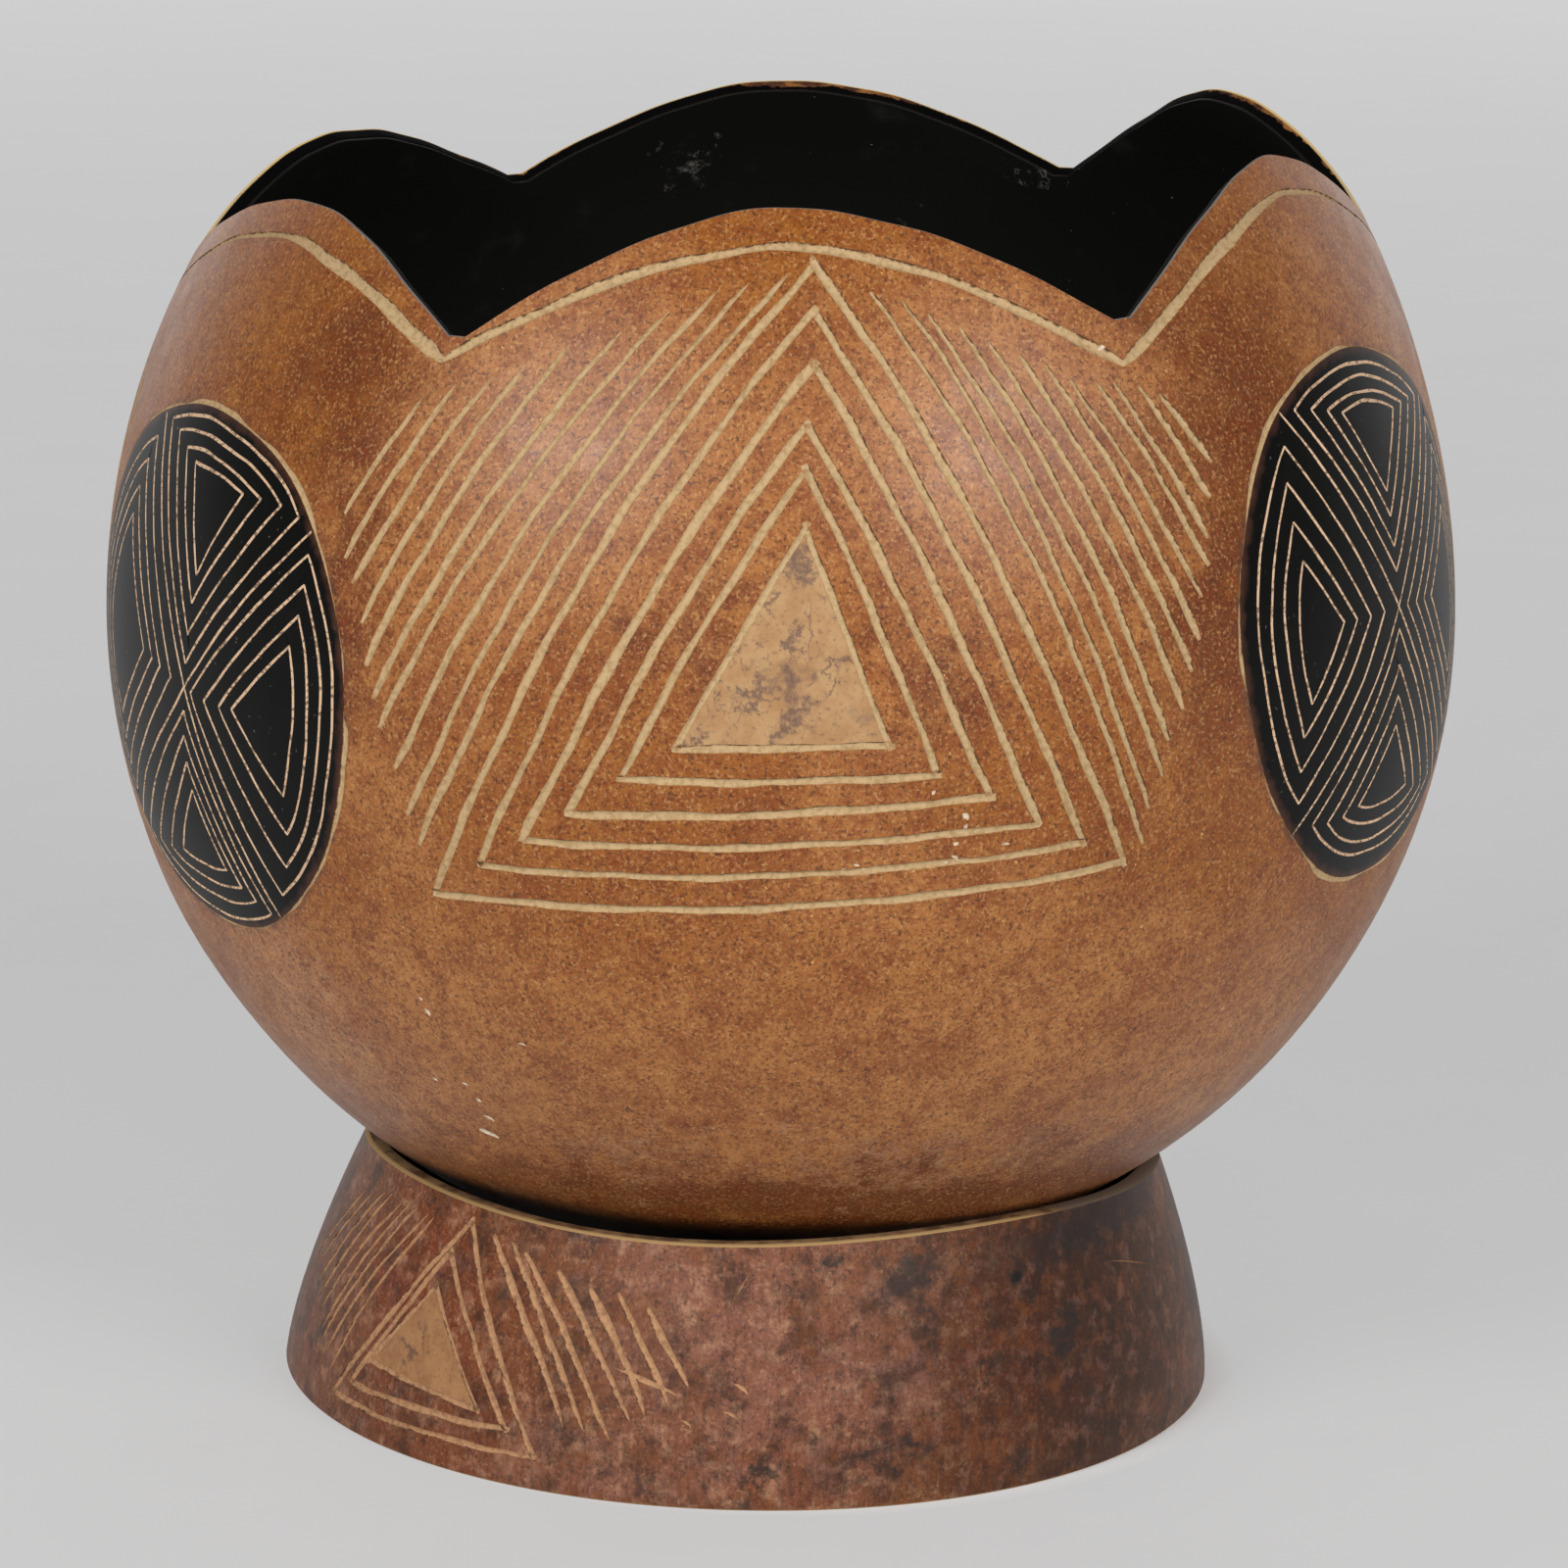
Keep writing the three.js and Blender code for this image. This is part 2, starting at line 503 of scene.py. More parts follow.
@dataclass(frozen=True)
class Hatching:
    """A fan of cuts beside a triangle, between a guide line for the tips and one for the feet.

    Attributes:
        count: number of cuts.
        tips: guide of their upper ends, mm.
        feet: guide of their lower ends, mm.
        bow: bulge of a 100 mm cut, mm, positive to the left going down.
        ends: how they start at the tip and stop at the foot.
        width: usual width, mm.
        depth: depth, mm.
        swell: width at the tip and at the foot, as shares of the usual one.
    """

    count: int
    tips: tuple[Point, ...]
    feet: tuple[Point, ...]
    bow: float
    ends: tuple[End, End]
    width: float
    depth: float
    swell: Point = (0.78, 1.2)

    def strokes(self, hand: Hand, lay: ArrayMap) -> list[Stroke]:
        """The cuts, each with its own small faults.

        Args:
            hand: the carver's hand.
            lay: from flat millimetres to the plan.

        Returns:
            One stroke for each cut.
        """
        cuts = []
        for tip, foot in zip(along_guide(self.tips, self.count), along_guide(self.feet, self.count)):
            tip, foot = tip + hand.jitter(0.7), foot + hand.jitter(0.8)
            bow = self.bow * (np.linalg.norm(foot - tip) / 100.0) ** 2
            path = lay(hand.line(tip, foot, bow, 0.22))
            width = self.width * hand.random.uniform(0.82, 1.1) * np.linspace(*self.swell, len(path))
            cuts.append(hand.gouge(path, width, self.depth, self.ends, 2.2))
        return cuts


@dataclass(frozen=True)
class NestedTriangles:
    """Triangles drawn one inside the other, the innermost scraped bare.

    Attributes:
        count: number of triangles.
        outer: apex, left corner and right corner of the outermost, mm.
        inner: the same of the innermost.
        bow: outward bulge of a 100 mm side, mm.
        sag: downward bulge of a 100 mm base, mm.
        width: usual width of a cut, mm.
        depth: depth, mm.
    """

    count: int
    outer: tuple[Point, Point, Point]
    inner: tuple[Point, Point, Point]
    bow: float
    sag: float
    width: float
    depth: float

    def corners(self, step: int) -> Array:
        """Apex, left and right corner of a triangle, at even shares from the outermost in."""
        share = step / (self.count - 1)
        return (1 - share) * np.asarray(self.outer, float) + share * np.asarray(self.inner, float)

    def strokes(self, hand: Hand, lay: ArrayMap) -> list[Stroke]:
        """Three cuts for each triangle: the sides bow outwards, the base sags.

        Args:
            hand: the carver's hand.
            lay: from flat millimetres to the plan.

        Returns:
            The strokes.
        """
        cuts = []
        for step in range(self.count):
            inmost = step == self.count - 1
            astray = 0.0 if inmost else hand.random.uniform(-0.7, 0.7, (3, 2))
            apex, left, right = self.corners(step) + astray
            sides = ((apex, left, -self.bow), (apex, right, self.bow), (left, right, -self.sag))
            for start, end, bow in sides:
                way = unit(end - start)
                bulge = 0.0 if inmost else bow * (np.linalg.norm(end - start) / 100.0) ** 2
                start = start - hand.random.uniform(0.1, 0.9) * way
                end = end + hand.random.uniform(0.1, 0.9) * way
                line = hand.line(start, end, bulge, 0.1 if inmost else 0.2)
                width = self.width * (0.8 if inmost else hand.random.uniform(0.88, 1.1))
                cuts.append(hand.gouge(lay(line), width, self.depth, (End.BLUNT, End.BLUNT), 2.0))
        return cuts

    def bare(self, places: Array) -> Array:
        """Finds the points inside the innermost triangle.

        Args:
            places: flat points, mm.

        Returns:
            Whether each lies inside.
        """
        apex, left, right = self.corners(self.count - 1)
        sides = [(b - a, places - a) for a, b in ((apex, left), (left, right), (right, apex))]
        return np.all([way[0] * off[:, 1] - way[1] * off[:, 0] > 0.0 for way, off in sides], axis=0)


@dataclass(frozen=True)
class Quarter:
    """Triangles drawn one inside the other in a quarter of a roundel.

    Attributes:
        apex: distance of the first apex from the hub, and from each apex to the next, mm.
        arc: depth of the first arc inside the disc's edge, and from each arc to the next, mm.
        leads: turn from the two arms beside the quarter to the corners of the first triangle, degrees.
    """

    apex: Point = (3.6, 4.3)
    arc: Point = (2.6, 2.3)
    leads: Point = (4.6, 4.6)


@dataclass(frozen=True)
class Roundel:
    """A blackened disc, quartered by a cross and filled with nested triangles.

    Attributes:
        patch: the sheet that it is drawn on, about its middle.
        size: mean radius, mm.
        waves: how far the edge swells, mm, and where, degrees, for the oval and the three-sided part of it.
        hub: where the arms of the cross meet, mm from its middle.
        arms: bearings of the upper right, upper left, lower left and lower right arm, degrees.
        quarters: the upper, left, lower and right quarter.
        seed: of the hand that cut it.
        nests: triangles in each quarter.
        line_width: of the scratched lines, mm.
        depth: of its cuts, mm.
        edge_points: points of its scraped edge.
    """

    patch: Patch
    size: float
    waves: tuple[Point, Point]
    hub: Point
    arms: tuple[float, float, float, float]
    quarters: tuple[Quarter, Quarter, Quarter, Quarter]
    seed: int
    nests: int = 4
    line_width: float = 0.47
    depth: float = 0.2
    edge_points: int = 180

    def edge(self, bearing: Array) -> Array:
        """Radius of the disc at a bearing b: size + a2 cos 2(b - b2) + a3 cos 3(b - b3) + 0.15 sin 9b."""
        swell = [amount * np.cos(turns * (bearing - math.radians(at)))
                 for turns, (amount, at) in zip((2, 3), self.waves)]
        return self.size + swell[0] + swell[1] + 0.15 * np.sin(9 * bearing)

    def outside(self, ways: Array) -> Array:
        """Distance of directions outside the disc's edge, mm, negative inside."""
        flat = self.patch.lift(ways)
        return np.linalg.norm(flat, axis=1) - self.edge(np.arctan2(flat[:, 1], flat[:, 0]))

    def strokes(self, lay: ArrayMap) -> list[Stroke]:
        """The scraped edge, the cross and the nested triangles of its quarters.

        Triangle k of a quarter, from 1, has its outer side on an arc inside the disc's edge, its corners
        turned from the arms by lead * k^1.2, and its apex on the line from the hub to the arc's middle.

        Args:
            lay: from flat millimetres on the patch to the plan.

        Returns:
            The strokes.
        """
        hand = Hand(self.seed, 2.0)
        count = self.edge_points
        turn = np.linspace(0.0, 2 * np.pi, count, endpoint=False)
        usual, least, most = 0.23, 0.06, 0.6
        half = np.clip(usual + hand.drift(count, 0.3, 70.0) + hand.drift(count, 0.2, 19.0), least, most)
        rim = (self.edge(turn) + half)[:, None] * np.stack([np.cos(turn), np.sin(turn)], axis=1)
        cuts = [Stroke(lay(rim), half, self.depth, closed=True)]

        blunt = (End.BLUNT, End.BLUNT)

        def scratch(points: Array) -> None:
            """Cuts one thin line."""
            path = lay(points)
            cuts.append(hand.gouge(path, self.line_width, self.depth, blunt, 2.0, 0.3, Region.SCRATCHED))

        def spot(radius: Array | float, bearing: Array | float) -> Array:
            """Flat points from their radii and bearings."""
            return np.stack([radius * np.cos(bearing), radius * np.sin(bearing)], axis=-1)

        hub = np.asarray(self.hub)
        arms = np.radians([*self.arms, self.arms[0] + 360.0])
        for arm in arms[:-1]:
            scratch(hand.line(hub, spot(self.edge(arm) - 0.4, arm), shake=0.15))
        for quarter, first, last in zip(self.quarters, arms[:-1], arms[1:]):
            for nest in range(self.nests):
                uneven = hand.random.uniform(-0.3, 0.3, 2)
                deep = quarter.arc[0] + quarter.arc[1] * nest + uneven[1]
                lead = np.radians(quarter.leads) * (nest + 1) ** 1.2
                steps = 4 + int(0.5 * (self.size - deep) * (last - first - lead.sum()))
                span = np.linspace(first + lead[0], last - lead[1], steps)
                arc = spot(self.edge(span) - deep + hand.drift(steps, 0.2, 16.0), span)
                middle = unit(spot(self.size, 0.5 * (span[0] + span[-1])) - hub)
                apex = hub + (quarter.apex[0] + quarter.apex[1] * nest + uneven[0]) * middle
                for end in (arc[0], arc[-1]):
                    scratch(hand.line(apex, end, shake=0.14))
                scratch(arc)
        return cuts


@dataclass(frozen=True)
class Spot:
    """A soft oval mark on a piece.

    Attributes:
        centre: its middle, mm.
        azimuth: that the surface faces there, degrees.
        size: half its width and half its height, mm.
        tilt: turn of its width from level, degrees.
    """

    centre: tuple[float, float, float]
    azimuth: float
    size: Point
    tilt: float


def smooth_normals(points: Array, faces: Array, group: Array) -> Array:
    """Normals of face corners, averaged by area over the faces of a group that share a point.

    Args:
        points: of the mesh.
        faces: triangles.
        group: a number for each face.

    Returns:
        One normal for each corner of each face.
    """
    corners = points[faces]
    flat = np.cross(corners[:, 1] - corners[:, 0], corners[:, 2] - corners[:, 0])
    normals = np.zeros((*faces.shape, 3))
    for number in np.unique(group):
        chosen = group == number
        total = np.zeros_like(points)
        for corner in range(3):
            np.add.at(total, faces[chosen, corner], flat[chosen])
        normals[chosen] = total[faces[chosen]]
    return normals / np.maximum(np.linalg.norm(normals, axis=2, keepdims=True), 1e-12)


def carved_normals(points: Array, faces: Array, slots: Array, skin: Array) -> Array:
    """Normals of face corners of a carved piece: the form's own on the plain skin, and smooth elsewhere.

    Args:
        points: of the mesh.
        faces: triangles.
        slots: values of Region.
        skin: the form's normal at each point of the outside.

    Returns:
        One normal for each corner of each face.
    """
    gouged = np.isin(slots, (Region.GOUGED, Region.FLAKED, Region.SCRATCHED))
    edge, pith = slots == Region.CUT_EDGE, slots == Region.PITH
    plain = ~(gouged | edge | pith)
    normals = smooth_normals(points, faces, 1 * gouged + 2 * edge + 3 * pith)
    normals[plain] = skin[faces[plain]]
    return normals


def strip(first: Array, second: Array) -> Array:
    """Joins two closed rows of points; a row that repeats one point makes a fan.

    Args:
        first: numbers of the points of one row.
        second: numbers of the points of the next.

    Returns:
        Triangles.
    """
    quads = np.stack([first, np.roll(first, -1), np.roll(second, -1), second], axis=1)
    faces = np.vstack([quads[:, [0, 1, 2]], quads[:, [0, 2, 3]]])
    return faces[(faces[:, 0] != faces[:, 1]) & (faces[:, 1] != faces[:, 2])]


def close_up(skin: Array, levels: list[Array], first: Array,
             last: Array | None = None) -> tuple[Array, list[Array], list[Array]]:
    """Carries a skin on by rows of points.

    Args:
        skin: its points.
        levels: points of each further row; a row of one point closes the piece.
        first: numbers of the skin's points that the rows start from.
        last: numbers of the skin's points that the rows end at, if they do.

    Returns:
        All points, the numbers of each row, and the triangles from each row to the next.
    """
    rows = [first]
    total = len(skin)
    for level in levels:
        rows.append(np.broadcast_to(total + np.arange(len(level)), first.shape))
        total += len(level)
    if last is not None:
        rows.append(last)
    strips = [strip(here, there) for here, there in zip(rows[:-1], rows[1:])]
    return np.vstack([skin, *levels]), rows, strips


def padded(values: Array, total: int, rest: float = 1.0) -> Array:
    """Values of the outside's points, followed by one and the same for the points after them."""
    return np.append(values, np.full(total - len(values), rest))


def make_piece(name: str, points: Array, faces: Array, slots: Array, materials: list[Material],
               normals: Array, marks: dict[str, Array]) -> bpy.types.Object:
    """Puts arrays into a new mesh object at the origin.

    Args:
        name: of the piece.
        points: mm.
        faces: triangles.
        slots: material slot of each face.
        materials: of the slots.
        normals: one for each corner of each face.
        marks: values for each point, by attribute name, that the materials read.

    Returns:
        The object.
    """
    mesh = bpy.data.meshes.new(name)
    mesh.from_pydata((points / MM).tolist(), [], faces.tolist())
    for material in materials:
        mesh.materials.append(material)
    mesh.polygons.foreach_set("material_index", slots.astype(np.int32))
    mesh.shade_smooth()
    for mark, values in marks.items():
        mesh.attributes.new(mark, "FLOAT", "POINT").data.foreach_set("value", values.astype(np.float32))
    mesh.normals_split_custom_set(normals.reshape(-1, 3).tolist())
    piece = bpy.data.objects.new(name, mesh)
    bpy.context.scene.collection.objects.link(piece)
    a, b, c = (points[faces[:, corner]] for corner in range(3))
    volume = np.einsum("ij,ij->i", a, np.cross(b, c)).sum() / 6.0
    LOG.info("%s: %d points, %d triangles, %.0f mm3", name, len(points), len(faces), volume)
    return piece


@dataclass(frozen=True)
class Scallops:
    """The hand-cut rim: arched tops between blunt notches.

    Attributes:
        notches: azimuth and height of each notch over the widest level.
        tops: azimuth and height of the top that follows each notch.
        power: shape of an arch; 2 is a parabola, 1 a straight-sided point.
        flat: width of the blunt cut at the bottom of a notch, mm.
    """

    notches: tuple[Point, ...] = (
        (-29.5, 59.5), (32.5, 59.0), (88, 62.0), (148, 61.5), (210, 63.0), (270, 61.0))
    tops: tuple[Point, ...] = (
        (0, 77.3), (62, 77.0), (116.5, 79.0), (181, 78.0), (243, 76.5), (303, 75.6))
    power: float = 1.85
    flat: float = 3.0

    def columns(self, steps: int, notch_radius: float) -> tuple[Array, Array]:
        """Azimuths, degrees, and heights round the rim.

        From a top to a notch's edge, height = top - (top - notch) * t^power, with t from 0 to 1.

        Args:
            steps: columns of one arch.
            notch_radius: radius of the bowl at the notches, mm.

        Returns:
            Azimuths and heights.
        """
        notches, tops = np.array(self.notches, float), np.array(self.tops, float)
        blunt = math.degrees(0.5 * self.flat / notch_radius)
        across = np.linspace(-1.0, 1.0, steps + 1)[None, :]
        after = np.roll(notches, -1, axis=0)
        after[-1, 0] += 360.0
        left, right = across < 0.0, across >= 0.0
        edge = left * (notches[:, :1] + blunt) + right * (after[:, :1] - blunt)
        low = left * notches[:, 1:] + right * after[:, 1:]
        far = np.abs(across)
        azimuth = tops[:, :1] + far * (edge - tops[:, :1])
        height = tops[:, 1:] - (tops[:, 1:] - low) * far ** self.power
        return azimuth.ravel(), height.ravel()


@dataclass(frozen=True)
class BowlForm:
    """The bowl's thin shell, a round gourd stretched upwards and leaning in its ring.

    Attributes:
        radius: at the widest level, mm.
        depth: from the widest level to the bottom.
        dome: height at which the upper half would close.
        wall: thickness.
        drift: how far the upper half has grown towards +X by the height where it would close.
        lean: degrees, left side down.
        seat_radius: radius of the ring's rim that it sits in.
        seat_height: height of that rim under a level bowl.
        lumps: X, Y and Z parts, a row each, of the four waves that make the gourd's low lumps.
        phases: of these waves.
        swell: height of each, mm.
    """

    radius: float = 110.0
    depth: float = 107.5
    dome: float = 121.0
    wall: float = 2.4
    drift: float = 5.7
    lean: float = 3.0
    seat_radius: float = 63.2
    seat_height: float = 40.3
    lumps: Marks = ((14.0, -8.0, 17.0, -5.0), (5.0, 12.0, -6.0, -15.0), (-9.0, 11.0, 4.0, 13.0))
    phases: tuple[float, ...] = (0.3, 1.9, 4.0, 5.2)
    swell: float = 0.06

    @property
    def centre(self) -> float:
        """Height of the widest level's middle above the ground."""
        return self.seat_height + self.depth * math.sqrt(1.0 - (self.seat_radius / self.radius) ** 2)

    def wall_points(self, ways: Array, inset: Array | float = 0.0) -> Array:
        """Points of the wall in given directions.

        A unit direction n goes to (R nx + drift nz^2, R ny, reach nz): the reach is the dome above the widest
        level and the depth below it, and the drift acts above it only. The point is then set in along the
        normal (nx/R, ny/R, nz/reach), less swell * sum sin(k . n + p) for the lumps k and their phases p,
        leaned about Y and raised.

        Args:
            ways: unit directions from the bowl's middle.
            inset: depth under the outside, mm.

        Returns:
            Points, mm.
        """
        above = ways[:, 2] > 0.0
        stretch = np.full(ways.shape, self.radius)
        stretch[:, 2] = np.where(above, self.dome, self.depth)
        swell = self.swell * np.sin(ways @ np.array(self.lumps) + np.array(self.phases)).sum(axis=1)
        points = ways * stretch - unit(ways / stretch) * (inset - swell)[:, None]
        points[:, 0] += np.where(above, self.drift * ways[:, 2] ** 2, 0.0)
        c, s = math.cos(math.radians(self.lean)), math.sin(math.radians(self.lean))
        leaned = points @ np.array([[c, 0.0, s], [0.0, 1.0, 0.0], [-s, 0.0, c]])
        return leaned + np.array([0.0, 0.0, self.centre])

    def normals(self, ways: Array) -> Array:
        """Outward normals: the cross product of two short steps along the wall.

        Args:
            ways: unit directions.

        Returns:
            Unit normals.
        """
        helper = np.where(np.abs(ways[:, 2:]) > 0.9, np.eye(3)[:1], np.eye(3)[2:])
        first = unit(np.cross(helper, ways))
        short = 1e-3
        steps = [self.wall_points(unit(ways + short * way)) - self.wall_points(unit(ways - short * way))
                 for way in (first, np.cross(ways, first))]
        return unit(np.cross(*steps))

    def plan(self, ways: Array) -> Array:
        """Flat plan of directions, seen from below without a seam: R (nx, ny) / (1 - nz)."""
        return self.radius * ways[:, :2] / (1.0 - ways[:, 2:])

    def unplan(self, places: Array) -> Array:
        """Undoes the plan: with p = place / R, n = (2 px, 2 py, p^2 - 1) / (1 + p^2).

        Args:
            places: points of the plan.

        Returns:
            Unit directions.
        """
        p = places / self.radius
        square = (p * p).sum(axis=1, keepdims=True)
        return np.hstack([2.0 * p, square - 1.0]) / (1.0 + square)

    def scale(self, places: Array) -> Array:
        """Millimetres of the wall for a unit of the plan: 2 / (1 + p^2)."""
        return 2.0 / (1.0 + ((places / self.radius) ** 2).sum(axis=1))


@dataclass
class CarvedBowl:
    """The gourd bowl: its carved outside, the cut rim and the inside of its wall.

    Attributes:
        form: its shape.
        rim: its scalloped edge.
        arch_columns: columns of the mesh in one scallop.
        spread: distance between the points of the plain skin, mm.
        edge_wear: how far the outer edge of the rim is rubbed down, mm.
        rim_clear: distance from the rim within which no point of the plain skin lies, mm.
        cut_clear: the same for the cuts.
        scraped: depth of the scraped triangles, mm.
        far: distance from the blackened discs that is given to what is not skin, mm.
        triangles: the nested triangles of a motif, on its sheet.
        left_hatching: the cuts to the left of them.
        right_hatching: the cuts to the right of them.
        front: azimuth and slope of the middle of the front motif's sheet, degrees.
        flake_marks: chips on that sheet, as nicks takes them.
        dark_and_painted_shade_marks: places on it where the skin is darker, the lowest a painted shade near
            the ring, as spots takes them.
        golden_and_painted_light_marks: places painted more golden, mostly painted light: over the lamps'
            highlights and on the low front, lit from the ground.
        dusty_marks: places where it is rubbed dull.
        smudge_marks: soot on the scraped triangle.
        crack_marks: hairlines in it.
    """

    form: BowlForm = field(default_factory=BowlForm)
    rim: Scallops = field(default_factory=Scallops)
    arch_columns: int = 64
    spread: float = 4.2
    edge_wear: float = 0.3
    rim_clear: float = 3.0
    cut_clear: float = 0.9
    scraped: float = 0.2
    far: float = 30.0
    triangles: NestedTriangles = NestedTriangles(
        6, ((6.4, 44.0), (-56.0, -45.0), (55.2, -44.2)), ((4.8, 7.5), (-15.0, -21.7), (16.7, -22.0)),
        3.4, 2.0, 1.28, 0.4)
    left_hatching: Hatching = Hatching(
        10, ((-55.0, 29.0), (-38.0, 31.5), (-15.0, 38.5), (2.5, 43.0)),
        ((-69.0, 12.5), (-65.5, -3.5), (-62.5, -19.0), (-57.5, -38.0)), -3.6, (End.TAPER, End.ROUND),
        1.1, 0.38)
    right_hatching: Hatching = Hatching(
        12, ((14.5, 40.0), (31.0, 34.0), (47.0, 28.0), (61.0, 27.0)),
        ((57.5, -40.5), (63.5, -20.0), (68.5, -2.0), (71.0, 16.5)), 4.6, (End.ROUND, End.ROUND),
        1.1, 0.36)
    front: Point = (0.0, 12.0)
    flake_marks: Marks = (
        (28.1, -33.6, 1.4, 0.9, -50), (28.3, -35.3, 1.2, 0.6, 70), (26.8, -38.0, 0.9, 0.7, 40),
        (26.6, -40.3, 1.5, 0.8, -50), (25.4, -41.1, 0.7, 0.5, 10), (23.3, -29.5, 0.8, 0.5, 60),
        (34.5, -38.5, 1.3, 0.5, 5), (9.5, -41.2, 0.8, 0.5, 20), (11.5, -40.6, 0.9, 0.5, -30),
        (12.6, -41.5, 0.6, 0.5, 0), (-56.4, -98.9, 4.2, 1.2, -22), (-55.2, -94.1, 2.2, 0.8, -30),
        (-56.2, -89.4, 1.2, 0.7, -40), (-57.9, -85.7, 1.5, 0.6, -10), (-64.4, -86.0, 1.1, 0.6, -40),
        (-61.8, -69.6, 1.7, 0.8, -60), (-62.6, -67.0, 0.9, 0.6, -40), (-44.4, -73.9, 1.4, 0.5, -15),
        (51.1, 32.8, 1.0, 0.8, 30))
    # The last dark mark, low at the front, is painted shade where the bowl meets the ring.
    dark_and_painted_shade_marks: Marks = (
        (76.6, 24.0, 15.0, 26.0, 0), (72.0, -2.0, 9.0, 24.0, 0), (-70.0, 4.0, 6.0, 20.0, 0),
        (-71.0, 34.0, 12.0, 10.0, 0), (-12.0, -9.0, 8.0, 6.0, 30), (24.0, -14.0, 6.0, 8.0, 0),
        (0.0, -115.0, 72.0, 8.5, 0))
    # The golden marks are mostly painted light: the low front lit from the ground, and the two lamps'
    # highlights.
    golden_and_painted_light_marks: Marks = (
        (0.0, -86.0, 95.0, 25.0, 0), (55.0, 30.0, 16.0, 10.0, 0), (-34.0, 30.0, 20.0, 13.0, 0),
        (28.0, 30.0, 20.0, 13.0, 0))
    dusty_marks: Marks = (
        (-29.0, -101.0, 9.0, 5.0, 8), (20.0, -103.0, 26.0, 4.0, 0), (-90.0, -80.0, 12.0, 18.0, 0))
    smudge_marks: Marks = (
        (3.6, 2.5, 1.0, 2.1, 18), (-0.3, -2.8, 0.9, 1.3, 25), (3.3, -7.9, 0.7, 1.9, 0),
        (2.3, -12.3, 2.4, 2.3, 0), (-1.5, -14.2, 2.0, 0.8, 25), (3.2, -16.6, 1.2, 1.9, 0),
        (1.9, -19.7, 1.5, 1.7, 0), (-4.5, -17.0, 0.6, 1.6, 0), (-12.2, -20.5, 3.4, 0.8, 0),
        (11.2, -11.1, 1.2, 1.0, 0), (8.2, -10.5, 1.8, 0.5, 10),
        (-9.6, -14.8, 0.8, 0.6, 30), (-4.4, -8.6, 0.7, 1.3, 25), (-8.4, -13.1, 0.5, 1.6, 40))
    crack_marks: Marks = (
        (5.3, -6.0, 0.16, 4.8, 0), (-2.0, -15.6, 3.0, 0.16, 10), (8.0, -14.0, 0.16, 2.6, -20))

    def patch(self, azimuth: float, slope: float) -> Patch:
        """A sheet for drawing on the bowl."""
        return Patch(azimuth, slope, self.form.radius)

    def on_plan(self, patch: Patch) -> ArrayMap:
        """Gives what takes flat points of a sheet to the bowl's plan."""
        return lambda points: self.form.plan(patch.lay(points))

    def motifs(self) -> list[tuple[Patch, int]]:
        """Sheets of the three nested triangles, under every other scallop, and the seeds of their hands."""
        return [(self.patch(*self.front), 11), (self.patch(117.0, 12.0), 12), (self.patch(-118.0, 12.0), 13)]

    def roundels(self) -> list[Roundel]:
        """Lays out the three blackened discs, under the other scallops.

        Returns:
            The discs.
        """
        plain = Quarter()
        left = (Quarter((3.6, 4.4), (1.6, 2.2), (4.4, 4.6)), Quarter((5.0, 3.85), (3.4, 3.1), (4.6, 4.6)),
                Quarter((3.6, 4.3), (1.5, 2.75), (6.2, 2.7)), Quarter((2.4, 3.85), (2.2, 2.7), (6.4, 4.0)))
        right = (Quarter((5.0, 3.83), (2.5, 1.9), (4.4, 4.0)), Quarter((5.4, 4.15), (3.5, 3.15), (5.3, 5.7)),
                 Quarter((3.5, 4.9), (3.7, 2.7), (4.6, 4.6)), Quarter((3.5, 4.0)))
        return [Roundel(self.patch(-58.49, 1.59), 41.59, ((2.08, -10.9), (1.0, 40.6)), (3.8, -0.8),
                        (36.9, 113.3, 225.0, 299.7), left, 21),
                Roundel(self.patch(61.15, 2.75), 41.14, ((0.95, -22.2), (0.87, 18.9)), (0.3, 2.2),
                        (46.7, 125.8, 225.7, 311.0), right, 22),
                Roundel(self.patch(180.0, 2.0), 40.2, ((0.8, 20.0), (0.5, 80.0)), (0.0, 0.5),
                        (44.0, 124.0, 224.0, 304.0), (plain,) * 4, 23)]

    def rim_strokes(self) -> list[Stroke]:
        """Cuts the line under the rim: an arch below each scallop, meeting in a V below each notch.

        Returns:
            The strokes.
        """
        hand = Hand(31, 2.4)
        count, depth, under_top, power = 48, 0.45, 5.2, 1.7
        drops = np.array([3.6, 6.4, 5.0, 5.5, 4.6, 5.2])
        shifts = np.array([-0.9, -1.0, 0.6, -0.5, 0.8, 0.4])
        widths = ((1.6, 1.3, 1.5), (1.9, 1.2, 0.6), (1.6, 1.3, 1.7),
                  (1.4, 1.5, 1.6), (1.7, 1.3, 1.5), (0.6, 1.1, 2.0))
        notches, tops = np.array(self.rim.notches, float), np.array(self.rim.tops, float)
        valleys = np.stack([notches[:, 0] + shifts, notches[:, 1] - drops], axis=1)
        cuts = []

        def under_rim(azimuth: Array, height: Array, width: Array | float) -> None:
            """Cuts along azimuths, degrees, and heights over the widest level, mm."""
            ways = toward(np.radians(azimuth), np.arcsin(height / self.form.dome))
            cuts.append(hand.gouge(self.form.plan(ways), width, depth, (End.ROUND, End.ROUND), 1.2))

